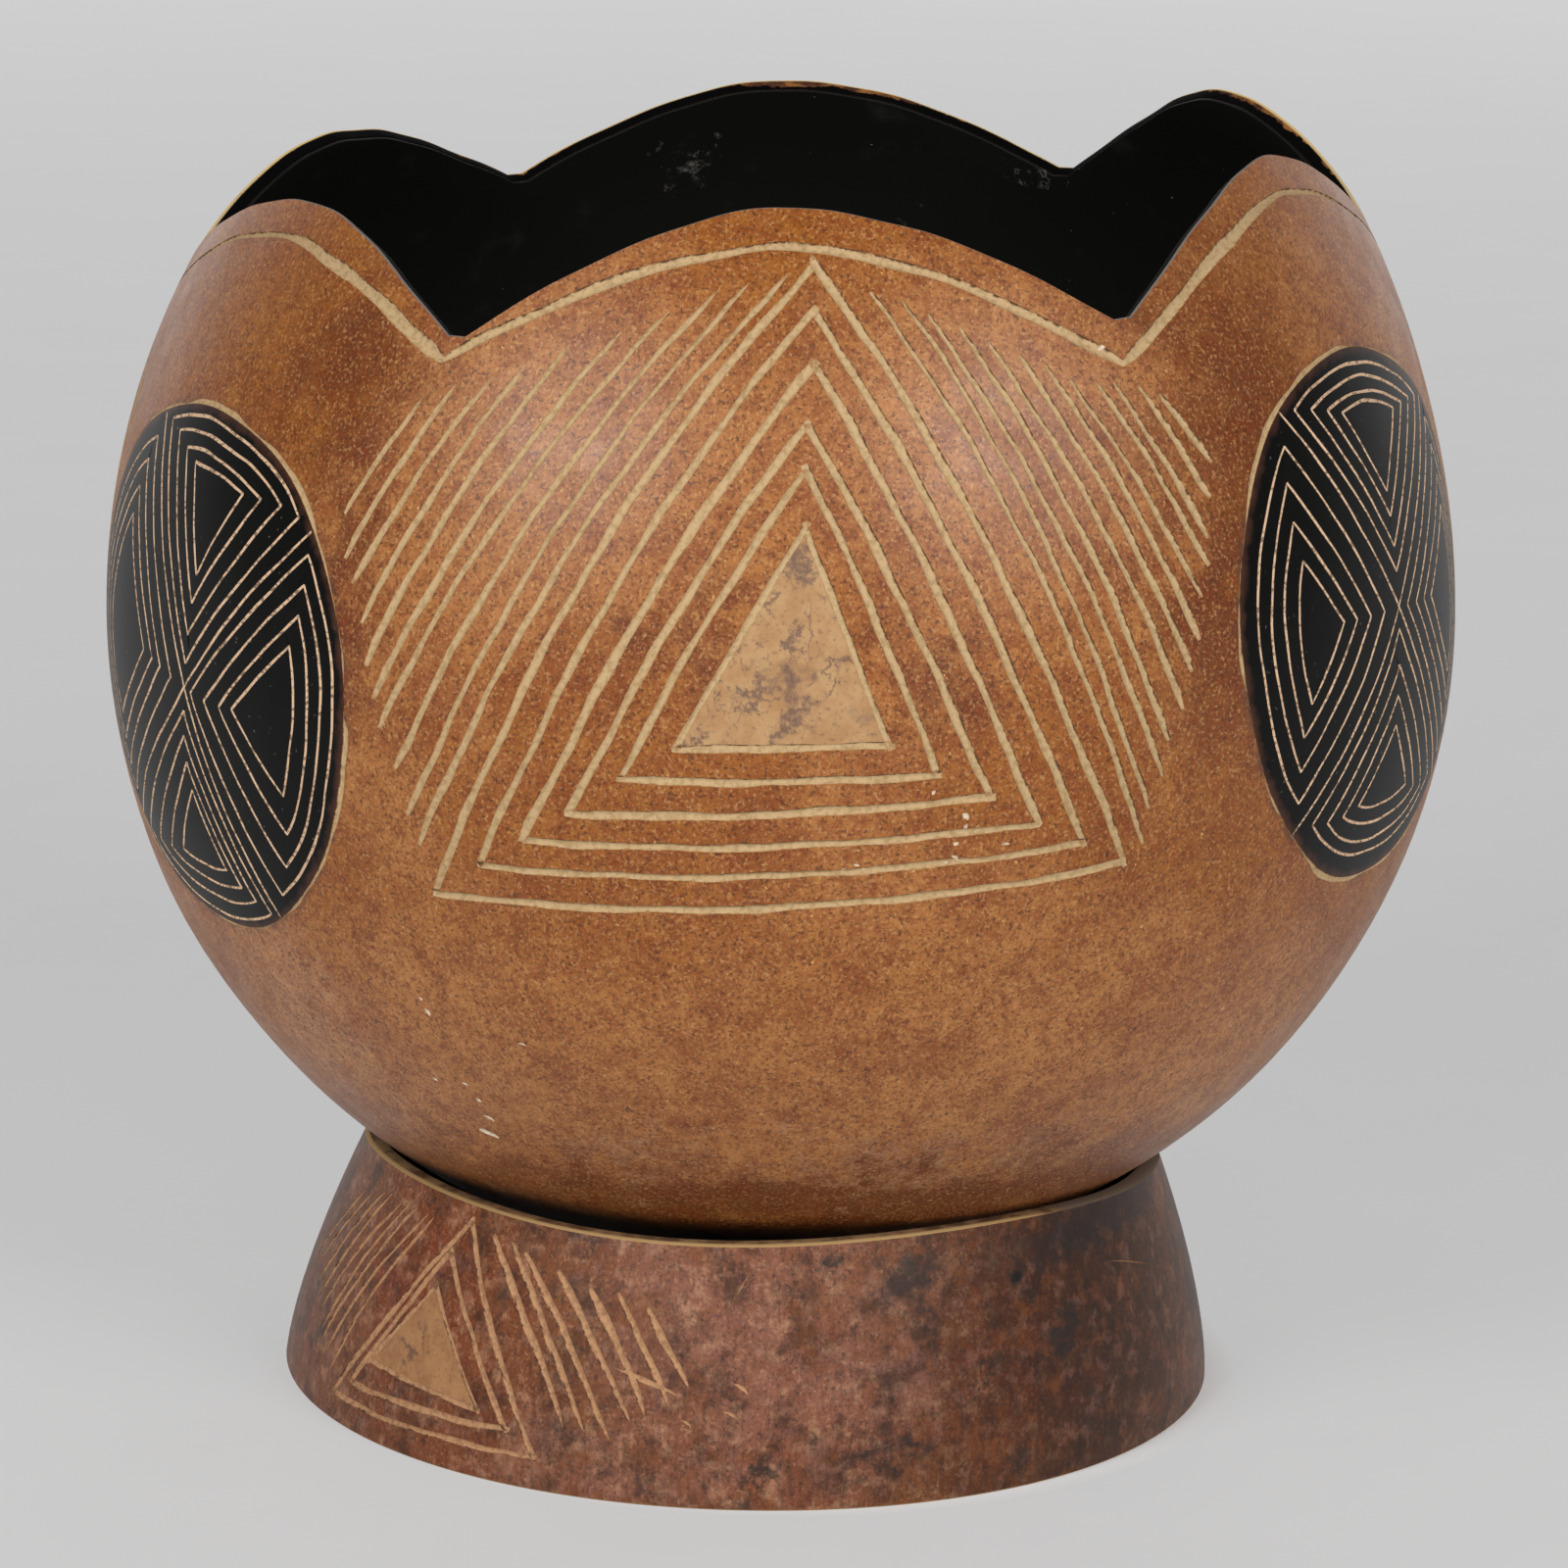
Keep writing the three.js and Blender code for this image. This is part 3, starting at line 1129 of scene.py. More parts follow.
        for number, top in enumerate(tops):
            left, right = valleys[number], valleys[(number + 1) % len(valleys)] + 0.0
            right[0] += 360.0 if right[0] < left[0] else 0.0
            across = np.linspace(-1.0, 1.0, count)
            edge = np.where(across < 0, left[0], right[0])
            low = np.where(across < 0, left[1], right[1])
            azimuth = top[0] + np.abs(across) * (edge - top[0])
            crown = top[1] - under_top
            height = crown - (crown - low) * np.abs(across) ** power + hand.drift(count, 0.35, 26.0)
            stations = np.repeat(widths[number], (2, 1, 2))
            under_rim(azimuth, height, np.interp(across, (-1.0, -0.45, 0.0, 0.45, 1.0), stations))
        slip = np.linspace(0.0, 1.0, 8)  # where the gouge slipped, by the left notch
        under_rim(-29.4 + 4.6 * slip, 56.8 + 4.1 * slip + 0.5 * np.sin(np.pi * slip), 1.0)
        return cuts

    def spots(self, marks: Marks, azimuth: float, slope: float, inset: float = 0.0) -> list[Spot]:
        """Marks on the bowl from a flat sheet.

        Args:
            marks: x, y, half width and half height, mm, and tilt, degrees, of each.
            azimuth: of the sheet's centre, degrees.
            slope: of the sheet's centre, degrees.
            inset: depth under the outside, mm.

        Returns:
            The marks in place.
        """
        rows = np.array(marks, float)
        ways = self.patch(azimuth, slope).lay(rows[:, :2])
        faces = np.degrees(np.arctan2(ways[:, 0], -ways[:, 1]))
        centres = self.form.wall_points(ways, inset)
        return [Spot(tuple(centre), face, (row[2], row[3]), row[4])
                for centre, face, row in zip(centres.tolist(), faces.tolist(), rows.tolist())]

    def strokes(self) -> list[Stroke]:
        """Makes every cut in the bowl's skin, in its plan.

        Returns:
            The strokes.
        """
        cuts = self.rim_strokes()
        for patch, seed in self.motifs():
            hand = Hand(seed)
            for motif in (self.triangles, self.left_hatching, self.right_hatching):
                cuts += motif.strokes(hand, self.on_plan(patch))
        for roundel in self.roundels():
            cuts += roundel.strokes(self.on_plan(roundel.patch))
        front = self.on_plan(self.patch(*self.front))
        return cuts + nicks(self.flake_marks, Hand(51, 0.5), front, Region.FLAKED)

    def rim_columns(self) -> tuple[Array, Array]:
        """Works out the rim, with three small ripples as the faults of a cut made by eye.

        Returns:
            Azimuths and slopes, radians.
        """
        notch_height = 60.0
        notch_radius = self.form.radius * math.sqrt(1.0 - (notch_height / self.form.dome) ** 2)
        azimuth, height = self.rim.columns(self.arch_columns, notch_radius)
        ripples, phases, sizes = np.array([[7.0, 17.0, 38.0], [0.4, 2.2, 4.1], [0.1, 0.1, 0.08]])
        height = height + np.sin(np.radians(azimuth)[:, None] * ripples + phases) @ sizes
        return np.radians(azimuth), np.arcsin(height / self.form.dome)

    def dress(self) -> list[Material]:
        """Makes the bowl's finishes.

        Returns:
            Materials, in the order of Region.
        """
        tables = (self.dark_and_painted_shade_marks, self.golden_and_painted_light_marks, self.dusty_marks, self.smudge_marks, self.crack_marks)
        dark, golden, dusty, smudges, cracks = (self.spots(marks, *self.front) for marks in tables)
        return [GourdSkin().material(dark, golden, dusty, self.form.lean), GougedFlesh().material(),
                BlackPigment().material(), ScrapedFlesh().material(smudges, cracks), FlakedSkin().material(),
                CutEdge().material(), Pith().material(), ScratchedLine().material()]

    def build(self, materials: list[Material]) -> bpy.types.Object:
        """Makes the bowl.

        The outside is its flat plan, triangulated along every cut and wrapped back on the wall at the depth
        of the cuts. Rows of points then go over the cut rim and down the inside to the bottom.

        Args:
            materials: in the order of Region.

        Returns:
            The bowl.
        """
        form = self.form
        azimuth, slope = self.rim_columns()
        edge = toward(azimuth, slope - self.edge_wear / form.dome)
        plan = Plan(form.plan(edge), self.strokes(), form.scale)
        filler = form.plan(self.filler(azimuth, slope))
        skin = plan.carve(filler, self.cut_clear, lambda flat: self.shows(form.unplan(flat)), self.scraped)
        ways = form.unplan(skin.places)

        # Over the rim: how far each row is set in and lowered, mm.
        profile = ((0.25, 0.06), (0.5, 0.0), (1.2, -0.03), (1.9, 0.0), (2.2, 0.05), (form.wall, 0.2))
        levels = [(toward(azimuth, slope - drop / form.dome), inset) for inset, drop in profile]
        levels += [(toward(azimuth, slope * share), form.wall) for share in np.linspace(0.85, 0.0, 6)]
        falls = np.radians(np.arange(-8, -86, -7))
        levels += [(toward(azimuth, np.full_like(slope, fall)), form.wall) for fall in falls]
        levels.append((np.array([[0.0, 0.0, -1.0]]), form.wall))
        inside = [form.wall_points(level, inset) for level, inset in levels]
        outside = form.wall_points(ways, skin.cuts.depth)
        points, rows, strips = close_up(outside, inside, np.arange(len(azimuth)))
        faces = np.vstack([skin.faces[:, ::-1], *strips])
        slots = skin.slots(strips, range(len(profile), len(strips)))
        normals = carved_normals(points, faces, slots, form.normals(ways))

        total = len(points)
        across, paint = padded(skin.cuts.across, total), np.zeros(total)
        lip = self.paint_lip(azimuth)
        paint[rows[0]] = -lip
        for row, (inset, _) in zip(rows[1:], profile):
            across[row] = 1.0 - inset / form.wall
            paint[row] = inset / form.wall - lip
        marks = {"across": across, "side": padded(skin.cuts.side, total), "paint": paint,
                 "from_black": padded(self.from_black(ways), total, self.far)}
        return make_piece("carved_gourd_bowl", points, faces, slots, materials, normals, marks)

    def filler(self, azimuth: Array, slope: Array) -> Array:
        """Even points for the plain skin under the rim: step k is turned by k golden angles, pi (3 - sqrt 5).

        Args:
            azimuth: of the rim's columns, radians.
            slope: of the rim's columns, radians.

        Returns:
            Unit directions.
        """
        tall = 1.0 + np.sin(slope).max()
        count = int(2 * np.pi * self.form.radius ** 2 * tall / (HEXAGON * self.spread ** 2))
        step = np.arange(count) + 0.5
        turn, lift = step * np.pi * (3.0 - math.sqrt(5.0)), np.arcsin(-1.0 + tall * step / count)
        columns, around = (np.mod(angle + np.pi, 2 * np.pi) - np.pi for angle in (azimuth, turn))
        order = np.argsort(columns)
        below = np.interp(around, columns[order], slope[order]) - self.rim_clear / self.form.dome
        return toward(turn, lift)[lift < below]

    def paint_lip(self, azimuth: Array) -> Array:
        """Share of the cut rim, from outside, that the black paint is worn off.

        It is little, but for bells at the back, each with a size, an azimuth and a width in degrees.

        Args:
            azimuth: radians.

        Returns:
            Shares of the wall.
        """
        turn = np.mod(np.degrees(azimuth), 360.0)
        bells = ((0.7, 180.0, 5.0), (0.4, 169.0, 7.0), (0.35, 110.0, 13.0), (0.25, 215.0, 9.0))
        return 0.1 + np.sum([size * np.exp(-(((turn - at) / wide) ** 2)) for size, at, wide in bells], axis=0)

    def from_black(self, ways: Array) -> Array:
        """Distances of unit directions outside the nearest blackened disc, mm."""
        return np.min([roundel.outside(ways) for roundel in self.roundels()], axis=0)

    def shows(self, ways: Array) -> Array:
        """What the skin shows between the cuts.

        Args:
            ways: unit directions.

        Returns:
            Values of Region.
        """
        shown = np.where(self.from_black(ways) < 0.0, Region.BLACKENED, Region.SKIN)
        for patch, _ in self.motifs():
            bare = self.triangles.bare(patch.lift(ways)) & (ways @ patch.axes()[0] > 0.5)
            shown[bare] = Region.SCRAPED
        return shown


class Recipe:
    """A material, or a room's light, under construction."""

    def __init__(self, block: Material | bpy.types.World) -> None:
        """Starts an empty node tree.

        Args:
            block: the material or world to build.
        """
        self.block = block
        block.use_nodes = True
        block.node_tree.nodes.clear()
        self.place = self.add("TexCoord", out="Generated" if isinstance(block, bpy.types.World) else "Object")

    def add(self, kind: str, inputs: dict[int | str, object] | None = None, out: int | str = 0,
            **settings: object) -> Socket | None:
        """Adds a node, sets it up and links it.

        Args:
            kind: node type without its ShaderNode prefix.
            inputs: values, or sockets to link, by socket name or number.
            out: output to hand back.
            settings: properties of the node.

        Returns:
            The chosen output, or None where the node has none.
        """
        tree = self.block.node_tree
        node = tree.nodes.new("ShaderNode" + kind)
        for name, value in settings.items():
            setattr(node, name, value)
        for name, value in (inputs or {}).items():
            if isinstance(value, Socket):
                tree.links.new(value, node.inputs[name])
            else:
                node.inputs[name].default_value = value
        return node.outputs[out] if len(node.outputs) else None

    def mask(self, size: float, low: float, high: float, amount: float = 1.0, detail: float = 3.0,
             shift: float = 0.0, stretch: tuple[float, float, float] = (1.0, 1.0, 1.0),
             ragged: float = 0.6) -> Socket:
        """Cloudy patches: noise of a given size, cut between two levels.

        Args:
            size: of a patch, mm.
            low: noise level that gives 0.
            high: noise level that gives the amount.
            amount: the largest value.
            detail: octaves of finer noise.
            shift: moves the pattern, mm.
            stretch: how much finer than round the patches are along each axis.
            ragged: strength of each finer octave beside the one before.

        Returns:
            A factor from 0 to the amount.
        """
        moved = {"Vector": self.place, "Location": (shift / MM,) * 3, "Scale": stretch}
        where = self.add("Mapping", moved)
        cloud = {"Vector": where, "Scale": MM / size, "Detail": detail, "Roughness": ragged}
        noise = self.add("TexNoise", cloud)
        levels = {"Value": noise, "From Min": low, "From Max": high, "To Max": amount}
        return self.add("MapRange", levels, interpolation_type="SMOOTHSTEP")

    def stir(self, size: float, amount: float) -> Socket:
        """The place shifted about by noise, so that a mark on it gets a ragged outline.

        Args:
            size: of the noise, mm.
            amount: usual shift, mm.

        Returns:
            The shifted place.
        """
        cloud = {"Vector": self.place, "Scale": MM / size, "Detail": 6.0, "Roughness": 0.7}
        noise = self.add("TexNoise", cloud, "Color")
        middle, usual = 0.5, 0.12  # of the noise, and how far it usually strays from there
        shift = self.add("VectorMath", {0: noise, 1: (middle,) * 3}, operation="SUBTRACT")
        gain = (amount / (MM * usual),) * 3
        return self.add("VectorMath", {0: shift, 1: gain, 2: self.place}, operation="MULTIPLY_ADD")

    def blots(self, spots: list[Spot], where: Socket, amount: float = 1.0,
              soft: float = 0.7) -> Socket:
        """Soft oval marks.

        Args:
            spots: the marks.
            where: place to look them up at.
            amount: value inside a mark.
            soft: share of the size over which an edge fades, to either side.

        Returns:
            The strongest of the marks.
        """
        most = None
        for spot in spots:
            thick = max(12.0, 1.3 * max(spot.size))  # so that a mark goes through the curved wall
            oval = {"Vector": where, "Location": tuple(value / MM for value in spot.centre),
                    "Rotation": (0.0, math.radians(-spot.tilt), math.radians(spot.azimuth)),
                    "Scale": (spot.size[0] / MM, thick / MM, spot.size[1] / MM)}
            local = self.add("Mapping", oval, vector_type="TEXTURE")
            far = self.add("VectorMath", {0: local}, "Value", operation="LENGTH")
            fade = {"Value": far, "From Min": 1.0 + soft, "From Max": 1.0 - soft, "To Max": amount}
            mark = self.add("MapRange", fade, interpolation_type="SMOOTHSTEP")
            most = mark if most is None else self.add("Math", {0: most, 1: mark}, operation="MAXIMUM")
        return most

    def stack(self, ground: str, *layers: tuple[str, Socket]) -> Socket:
        """Colours laid over one another.

        Args:
            ground: hex code of the lowest.
            layers: hex code of each next one, and how much of it shows.

        Returns:
            The colour on top.
        """
        below = linear(ground)
        for colour, factor in layers:
            below = self.add("Mix", {0: factor, 6: below, 7: linear(colour)}, 2, data_type="RGBA")
        return below

    def finish(self, colour: Socket, roughness: Socket | float, grain: float,
               relief: float, ior: float) -> Material:
        """Ends the material with its shader.

        Args:
            colour: base colour.
            roughness: value or socket.
            grain: size of the bumps, mm.
            relief: height of the bumps, mm.
            ior: index of refraction, which sets the sheen.

        Returns:
            The material.
        """
        height = self.add("TexNoise", {"Vector": self.place, "Scale": MM / grain, "Detail": 3.0})
        bumps = self.add("Bump", {"Height": height, "Distance": relief / MM, "Strength": 1.0})
        inputs = {"Base Color": colour, "Roughness": roughness, "IOR": ior, "Normal": bumps}
        self.add("OutputMaterial", {"Surface": self.add("BsdfPrincipled", inputs)})
        return self.block


@dataclass(frozen=True)
class GourdSkin:
    """Dried calabash skin, scraped, oiled and rubbed by hand.

    It is brown tan, mottled with ragged red brown, finely grained, with a few pale flecks and dark pores and
    a satin sheen. Where it sits in the ring it is darkened with painted shade, the shade of the gap under the
    ring's rim, which fades between two heights, mm. The grain is drawn at 0.55 mm, coarser than real, so that
    it shows.
    """

    tan: str = "#8E5317"
    warm: str = "#A76E3A"
    russet: str = "#6B2900"
    umber: str = "#542002"
    haze: str = "#A98263"
    pale_grain: str = "#BC8D5A"
    dark_grain: str = "#43200A"
    fleck: str = "#D6A560"
    pore: str = "#371B0B"
    fringe: str = "#4A2B23"
    # the soot colour is painted shade: the dark gap where the bowl sits in the ring's rim
    soot: str = "#140C07"
    painted_shade_heights: Point = (39.5, 44.5)

    def material(self, dark: list[Spot], golden: list[Spot], dusty: list[Spot],
                 lean: float) -> Material:
        """Builds the finish.

        Args:
            dark: places where the skin ripened darker, and low near the ring a painted shade.
            golden: places painted more golden, mostly painted light: the lamps' highlights and the low front,
                lit from the ground.
            dusty: places where it is rubbed dull and pale.
            lean: of the bowl, degrees.

        Returns:
            The material.
        """
        r = Recipe(bpy.data.materials.new("hand-rubbed calabash skin"))
        ragged = r.stir(9.0, 7.0)
        grains = r.mask(1.6, 0.36, 0.66, 1.0, 5.0, 25.0)
        rubbed = r.add("Math", {0: r.blots(dusty, ragged, 0.45, 0.95), 1: grains}, operation="MULTIPLY")
        near = r.add("Attribute", attribute_name="from_black", out="Fac")
        burn = r.add("MapRange", {"Value": near, "From Min": 1.6, "From Max": 0.2, "To Max": 0.75})
        burn = r.add("Math", {0: burn, 1: r.mask(2.2, 0.42, 0.6)}, operation="MULTIPLY")
        # Painted shade: the skin turns to the soot colour low down, where the bowl sits in the ring and the
        # gap is in shadow.
        upright = r.add("Mapping", {"Vector": r.place, "Rotation": (0.0, math.radians(-lean), 0.0)})
        level = r.add("SeparateXYZ", {0: upright}, "Z")
        fully_shaded, unshaded = (height / MM for height in self.painted_shade_heights)
        seat = r.add("MapRange", {"Value": level, "From Min": unshaded, "From Max": fully_shaded, "To Max": 0.95})
        colour = r.stack(
            self.tan,
            (self.warm, r.mask(40.0, 0.42, 0.6, 0.6)),
            # painted light: golden over the lamps' highlights and on the low front
            (self.warm, r.blots(golden, ragged, 0.8)),
            (self.russet, r.mask(17.0, 0.46, 0.64, 0.5, 9.0, 70.0, ragged=0.76)),
            # darker skin, and at the bottom a painted shade near the ring
            (self.umber, r.blots(dark, ragged, 0.8, 0.95)),
            (self.russet, r.mask(4.0, 0.42, 0.64, 0.6, 8.0, 20.0, ragged=0.82)),
            (self.russet, r.mask(1.5, 0.48, 0.66, 0.5, 4.0, 55.0)),
            (self.haze, rubbed),
            (self.pale_grain, r.mask(0.55, 0.5, 0.72, 0.55, 2.0, 170.0)),
            (self.dark_grain, r.mask(0.55, 0.5, 0.7, 0.75, 2.0, 240.0)),
            (self.fleck, r.mask(1.2, 0.7, 0.77, 0.6, 2.0, 130.0)),
            (self.pore, r.mask(1.0, 0.68, 0.74, 0.75, 2.0, 90.0)),
            (self.fringe, burn),
            # painted shade of the gap in the ring
            (self.soot, seat))
        rubbing = r.mask(7.0, 0.3, 0.7, 1.0, 4.0, 50.0)
        rough = r.add("MapRange", {"Value": rubbing, "To Min": 0.37, "To Max": 0.46})
        return r.finish(colour, rough, 0.7, 0.02, 1.42)


@dataclass(frozen=True)
class GougedFlesh:
    """Fresh flesh of the shell, laid bare by the gouge: straw, fibrous and dull.

    It is darker where the skin's edge is torn. One wall of each cut is darkened with painted shade.
    """

    name: str = "gouged gourd flesh"
    pale: str = "#B3976F"
    fibre: str = "#9C8058"
    torn: str = "#8A6034"
    shade: str = "#43260F"

    def material(self) -> Material:
        """Builds the finish.

        Returns:
            The material.
        """
        r = Recipe(bpy.data.materials.new(self.name))
        across = r.add("Attribute", attribute_name="across", out="Fac")
        torn = r.add("Math", {0: across, 1: r.mask(0.8, 0.3, 0.7, 0.25, 2.0, 40.0)}, operation="ADD")
        # painted shade on the right-hand wall of each cut
        side = r.add("Attribute", attribute_name="side", out="Fac")
        shaded = r.add("Math", {0: side, 1: r.mask(1.2, 0.35, 0.65, 0.35, 3.0, 60.0)}, operation="ADD")
        far_wall = {"Value": shaded, "From Min": -0.5, "From Max": -0.8, "To Max": 0.95}
        colour = r.stack(
            self.pale,
            (self.fibre, r.mask(0.9, 0.42, 0.68, 1.0, 4.0)),
            (self.torn, r.add("MapRange", {"Value": torn, "From Min": 0.9, "From Max": 1.25})),
            (self.shade, r.add("MapRange", far_wall)))
        return r.finish(colour, 0.75, 0.5, 0.08, 1.35)


@dataclass(frozen=True)
class FlakedSkin:
    """Chips where the skin has sprung off: chalky, dull and greyish white."""

    chalk: str = "#D0BFA6"
    shade: str = "#A58E76"

    def material(self) -> Material:
        """Builds the finish.

        Returns:
            The material.
        """
        r = Recipe(bpy.data.materials.new("flaked gourd skin"))
        colour = r.stack(self.chalk, (self.shade, r.mask(0.7, 0.45, 0.7)))
        return r.finish(colour, 0.85, 0.5, 0.08, 1.35)


@dataclass(frozen=True)
class BlackPigment:
    """Soot rubbed into the skin and burnished: black, satin, frayed to violet brown at its edge."""

    black: str = "#070706"
    dusty: str = "#100F0E"
    speck: str = "#77736C"
    frayed: str = "#43291F"

    def material(self) -> Material:
        """Builds the finish.

        Returns:
            The material.
        """
        r = Recipe(bpy.data.materials.new("burnished soot black"))
        depth = r.add("Attribute", attribute_name="from_black", out="Fac")
        uneven = r.add("Math", {0: depth, 1: r.mask(3.0, 0.3, 0.7)}, operation="ADD")
        colour = r.stack(
            self.black,
            (self.dusty, r.mask(6.0, 0.45, 0.75, 0.6, 5.0)),
            (self.speck, r.mask(0.9, 0.7, 0.78, 0.6, 2.0, 45.0)),
            (self.frayed, r.add("MapRange", {"Value": uneven, "From Min": -0.9, "From Max": 0.7})))
        return r.finish(colour, 0.36, 0.8, 0.008, 1.21)


@dataclass(frozen=True)
class ScratchedLine:
    """Fine lines scratched through the soot: pinkish tan flesh, beaded where the point skipped."""

    pale: str = "#D2B292"
    skipped: str = "#4E3526"

    def material(self) -> Material:
        """Builds the finish.

        Returns:
            The material.
        """
        r = Recipe(bpy.data.materials.new("scratched gourd flesh"))
        across = r.add("Attribute", attribute_name="across", out="Fac")
        colour = r.stack(
            self.pale,
            (self.skipped, r.mask(0.7, 0.5, 0.66, 0.75, 1.0, 12.0)),
            (self.skipped, r.add("MapRange", {"Value": across, "From Min": 0.8, "From Max": 1.2})))
        return r.finish(colour, 0.6, 0.5, 0.03, 1.35)


@dataclass(frozen=True)
class ScrapedFlesh:
    """Skin scraped off in a broad patch: peach-tan flesh, smudged with grey soot and finely cracked."""

    name: str = "scraped gourd flesh"
    pale: str = "#AA865C"
    pink: str = "#9E764D"
    soot: str = "#644B40"

    def material(self, smudges: list[Spot], cracks: list[Spot]) -> Material:
        """Builds the finish.

        Args:
            smudges: places where soot was rubbed in.
            cracks: hairlines.

        Returns:
            The material.
        """
        r = Recipe(bpy.data.materials.new(self.name))
        colour = r.stack(
            self.pale,
            (self.pink, r.mask(3.0, 0.35, 0.65, 1.0, 6.0)),
            (self.soot, r.mask(5.0, 0.56, 0.72, 0.45, 7.0, 33.0)),
            (self.soot, r.blots(smudges, r.stir(4.0, 2.4), 0.9, 0.85)),
            (self.soot, r.blots(cracks, r.stir(3.0, 0.5), 0.7, 0.6)),
            (self.soot, r.mask(0.7, 0.53, 0.74, 0.6, 2.0, 14.0)))
        return r.finish(colour, 0.65, 0.8, 0.03, 1.38)


@dataclass(frozen=True)
class CutEdge:
    """Sawn and filed edge of the shell: painted over with the black coat.

    Its outer edge is worn to a golden line at the back; in front a dull grey line is painted on it, a painted
    sheen of the paint's edge. On the ring it is bare, and charred brown in place of the paint.
    """

    name: str = "cut gourd edge"
    tan: str = "#8A5C32"
    maroon: str = "#43281F"
    golden: str = "#D8B878"
    # front: painted sheen, a dull grey line where the paint's edge catches the light in front
    front: str = "#756C66"
    black: str = "#080707"

    def material(self) -> Material:
        """Builds the finish.

        Returns:
            The material.
        """
        r = Recipe(bpy.data.materials.new(self.name))
        paint = r.add("Attribute", attribute_name="paint", out="Fac")
        brush = r.add("Math", {0: paint, 1: r.mask(2.6, 0.3, 0.7, 0.3, 4.0, 15.0)}, operation="ADD")
        across = r.add("Attribute", attribute_name="across", out="Fac")
        worn = r.add("MapRange", {"Value": across, "From Min": 0.76, "From Max": 0.86})
        depth = r.add("SeparateXYZ", {0: r.place}, "Y")
        rear = r.add("MapRange", {"Value": depth, "From Min": -0.03, "From Max": 0.03})
        patchy = r.add("Math", {0: worn, 1: r.mask(6.0, 0.2, 0.42, 1.0, 4.0, 80.0)}, operation="MULTIPLY")
        colour = r.stack(
            self.tan,
            (self.maroon, r.mask(4.0, 0.4, 0.62, 1.0, 5.0)),
            (self.black, r.add("MapRange", {"Value": brush, "From Min": 0.1, "From Max": 0.2})),
            # in front a painted sheen line on the edge; at the back the golden wear
            (self.front, worn),
            (self.golden, r.add("Math", {0: patchy, 1: rear}, operation="MULTIPLY")))
        return r.finish(colour, 0.8, 0.8, 0.05, 1.08)


@dataclass(frozen=True)
class BlackCoat:
    """Black sealing paint brushed over the inside: matt, with grey scuffs and dust specks."""

    black: str = "#11110F"
    dust: str = "#35332F"
    scuff: str = "#9A958B"

    def material(self, scuffs: list[Spot]) -> Material:
        """Builds the finish.

        Args:
            scuffs: places where something has rubbed.

        Returns:
            The material.
        """
        r = Recipe(bpy.data.materials.new("brushed black sealer"))
        marks = r.blots(scuffs, r.stir(4.0, 3.0))
        rubbed = r.add("Math", {0: marks, 1: r.mask(2.4, 0.45, 0.72, 0.55, 6.0, 5.0)}, operation="MULTIPLY")
        colour = r.stack(
            self.black,
            (self.dust, r.mask(10.0, 0.58, 0.85, 0.45, 6.0)),
            (self.scuff, rubbed),
            (self.scuff, r.mask(1.0, 0.76, 0.82, 0.6, 2.0, 60.0)))
        return r.finish(colour, 0.6, 1.4, 0.03, 1.24)


@dataclass(frozen=True)
class Pith:
    """Dry inner wall of a gourd, left raw: dull, fibrous and straw brown; a nearly black version paints the
    shade inside the ring.
    """

    name: str = "dry gourd pith"
    straw: str = "#8A6A46"
    brown: str = "#5E4229"

    def material(self) -> Material:
        """Builds the finish.

        Returns:
            The material.
        """
        r = Recipe(bpy.data.materials.new(self.name))
        colour = r.stack(self.straw, (self.brown, r.mask(7.0, 0.35, 0.7, 1.0, 6.0)))
        return r.finish(colour, 0.85, 1.6, 0.2, 1.3)


@dataclass
class InsideCoat:
    """The black film that seals the inside of the bowl, a thin closed layer against the wall.

    Attributes:
        bowl: the bowl that it is brushed into.
        gap: distance from the wall, mm.
        thickness: mm.
        back: azimuth and slope of the middle of a sheet at the back, degrees.
        scuff_inset: depth of this sheet under the outside, mm.
        scuff_marks: places on it where something has rubbed, as the bowl's spots takes them.
    """

    bowl: CarvedBowl
    gap: float = 0.02
    thickness: float = 0.6
    back: Point = (180.0, 32.0)
    scuff_inset: float = 3.0
    scuff_marks: Marks = (
        (18.5, 1.5, 3.0, 2.0, 20), (14.5, 2.6, 2.2, 1.2, -30), (-23.5, -11.5, 2.2, 0.7, 0),
        (-49.0, 6.0, 6.0, 0.5, -15))

    def dress(self) -> list[Material]:
        """The coat's one finish."""
        return [BlackCoat().material(self.bowl.spots(self.scuff_marks, *self.back, self.scuff_inset))]

    def build(self, materials: list[Material]) -> bpy.types.Object:
        """Makes the coat: rows up its outer side, over its edge and down its inner side.

        Args:
            materials: its one finish.

        Returns:
            The coat.
        """
        form = self.bowl.form
        azimuth, slope = self.bowl.rim_columns()
        outer, inner = form.wall + self.gap, form.wall + self.gap + self.thickness
        below_rim, crown = 0.2, 0.1  # mm under the shell's rim, and how much its own edge is rounded
        falls = np.radians(np.arange(-84.0, 0.0, 6.0))
        shares = np.linspace(0.0, 1.0, 11)
        down = [np.full_like(slope, fall) for fall in falls]
        down += [slope * share - below_rim * share / form.dome for share in shares]
        levels = [(level, outer) for level in down] + [(down[-1] + crown / form.dome, 0.5 * (outer + inner))]
        levels += [(level, inner) for level in down[::-1]]
        sides = [form.wall_points(toward(azimuth, level), inset) for level, inset in levels]
        poles = [form.wall_points(np.array([[0.0, 0.0, -1.0]]), inset) for inset in (outer, inner)]
        points, _, strips = close_up(poles[0], [*sides, poles[1]], np.zeros(len(azimuth), int))
        faces = np.vstack(strips)
        half = np.repeat(np.arange(len(strips)) > len(down), [len(part) for part in strips])
        return make_piece("inside_black_coat", points, faces, np.zeros(len(faces)), materials,
                          smooth_normals(points, faces, half), {})


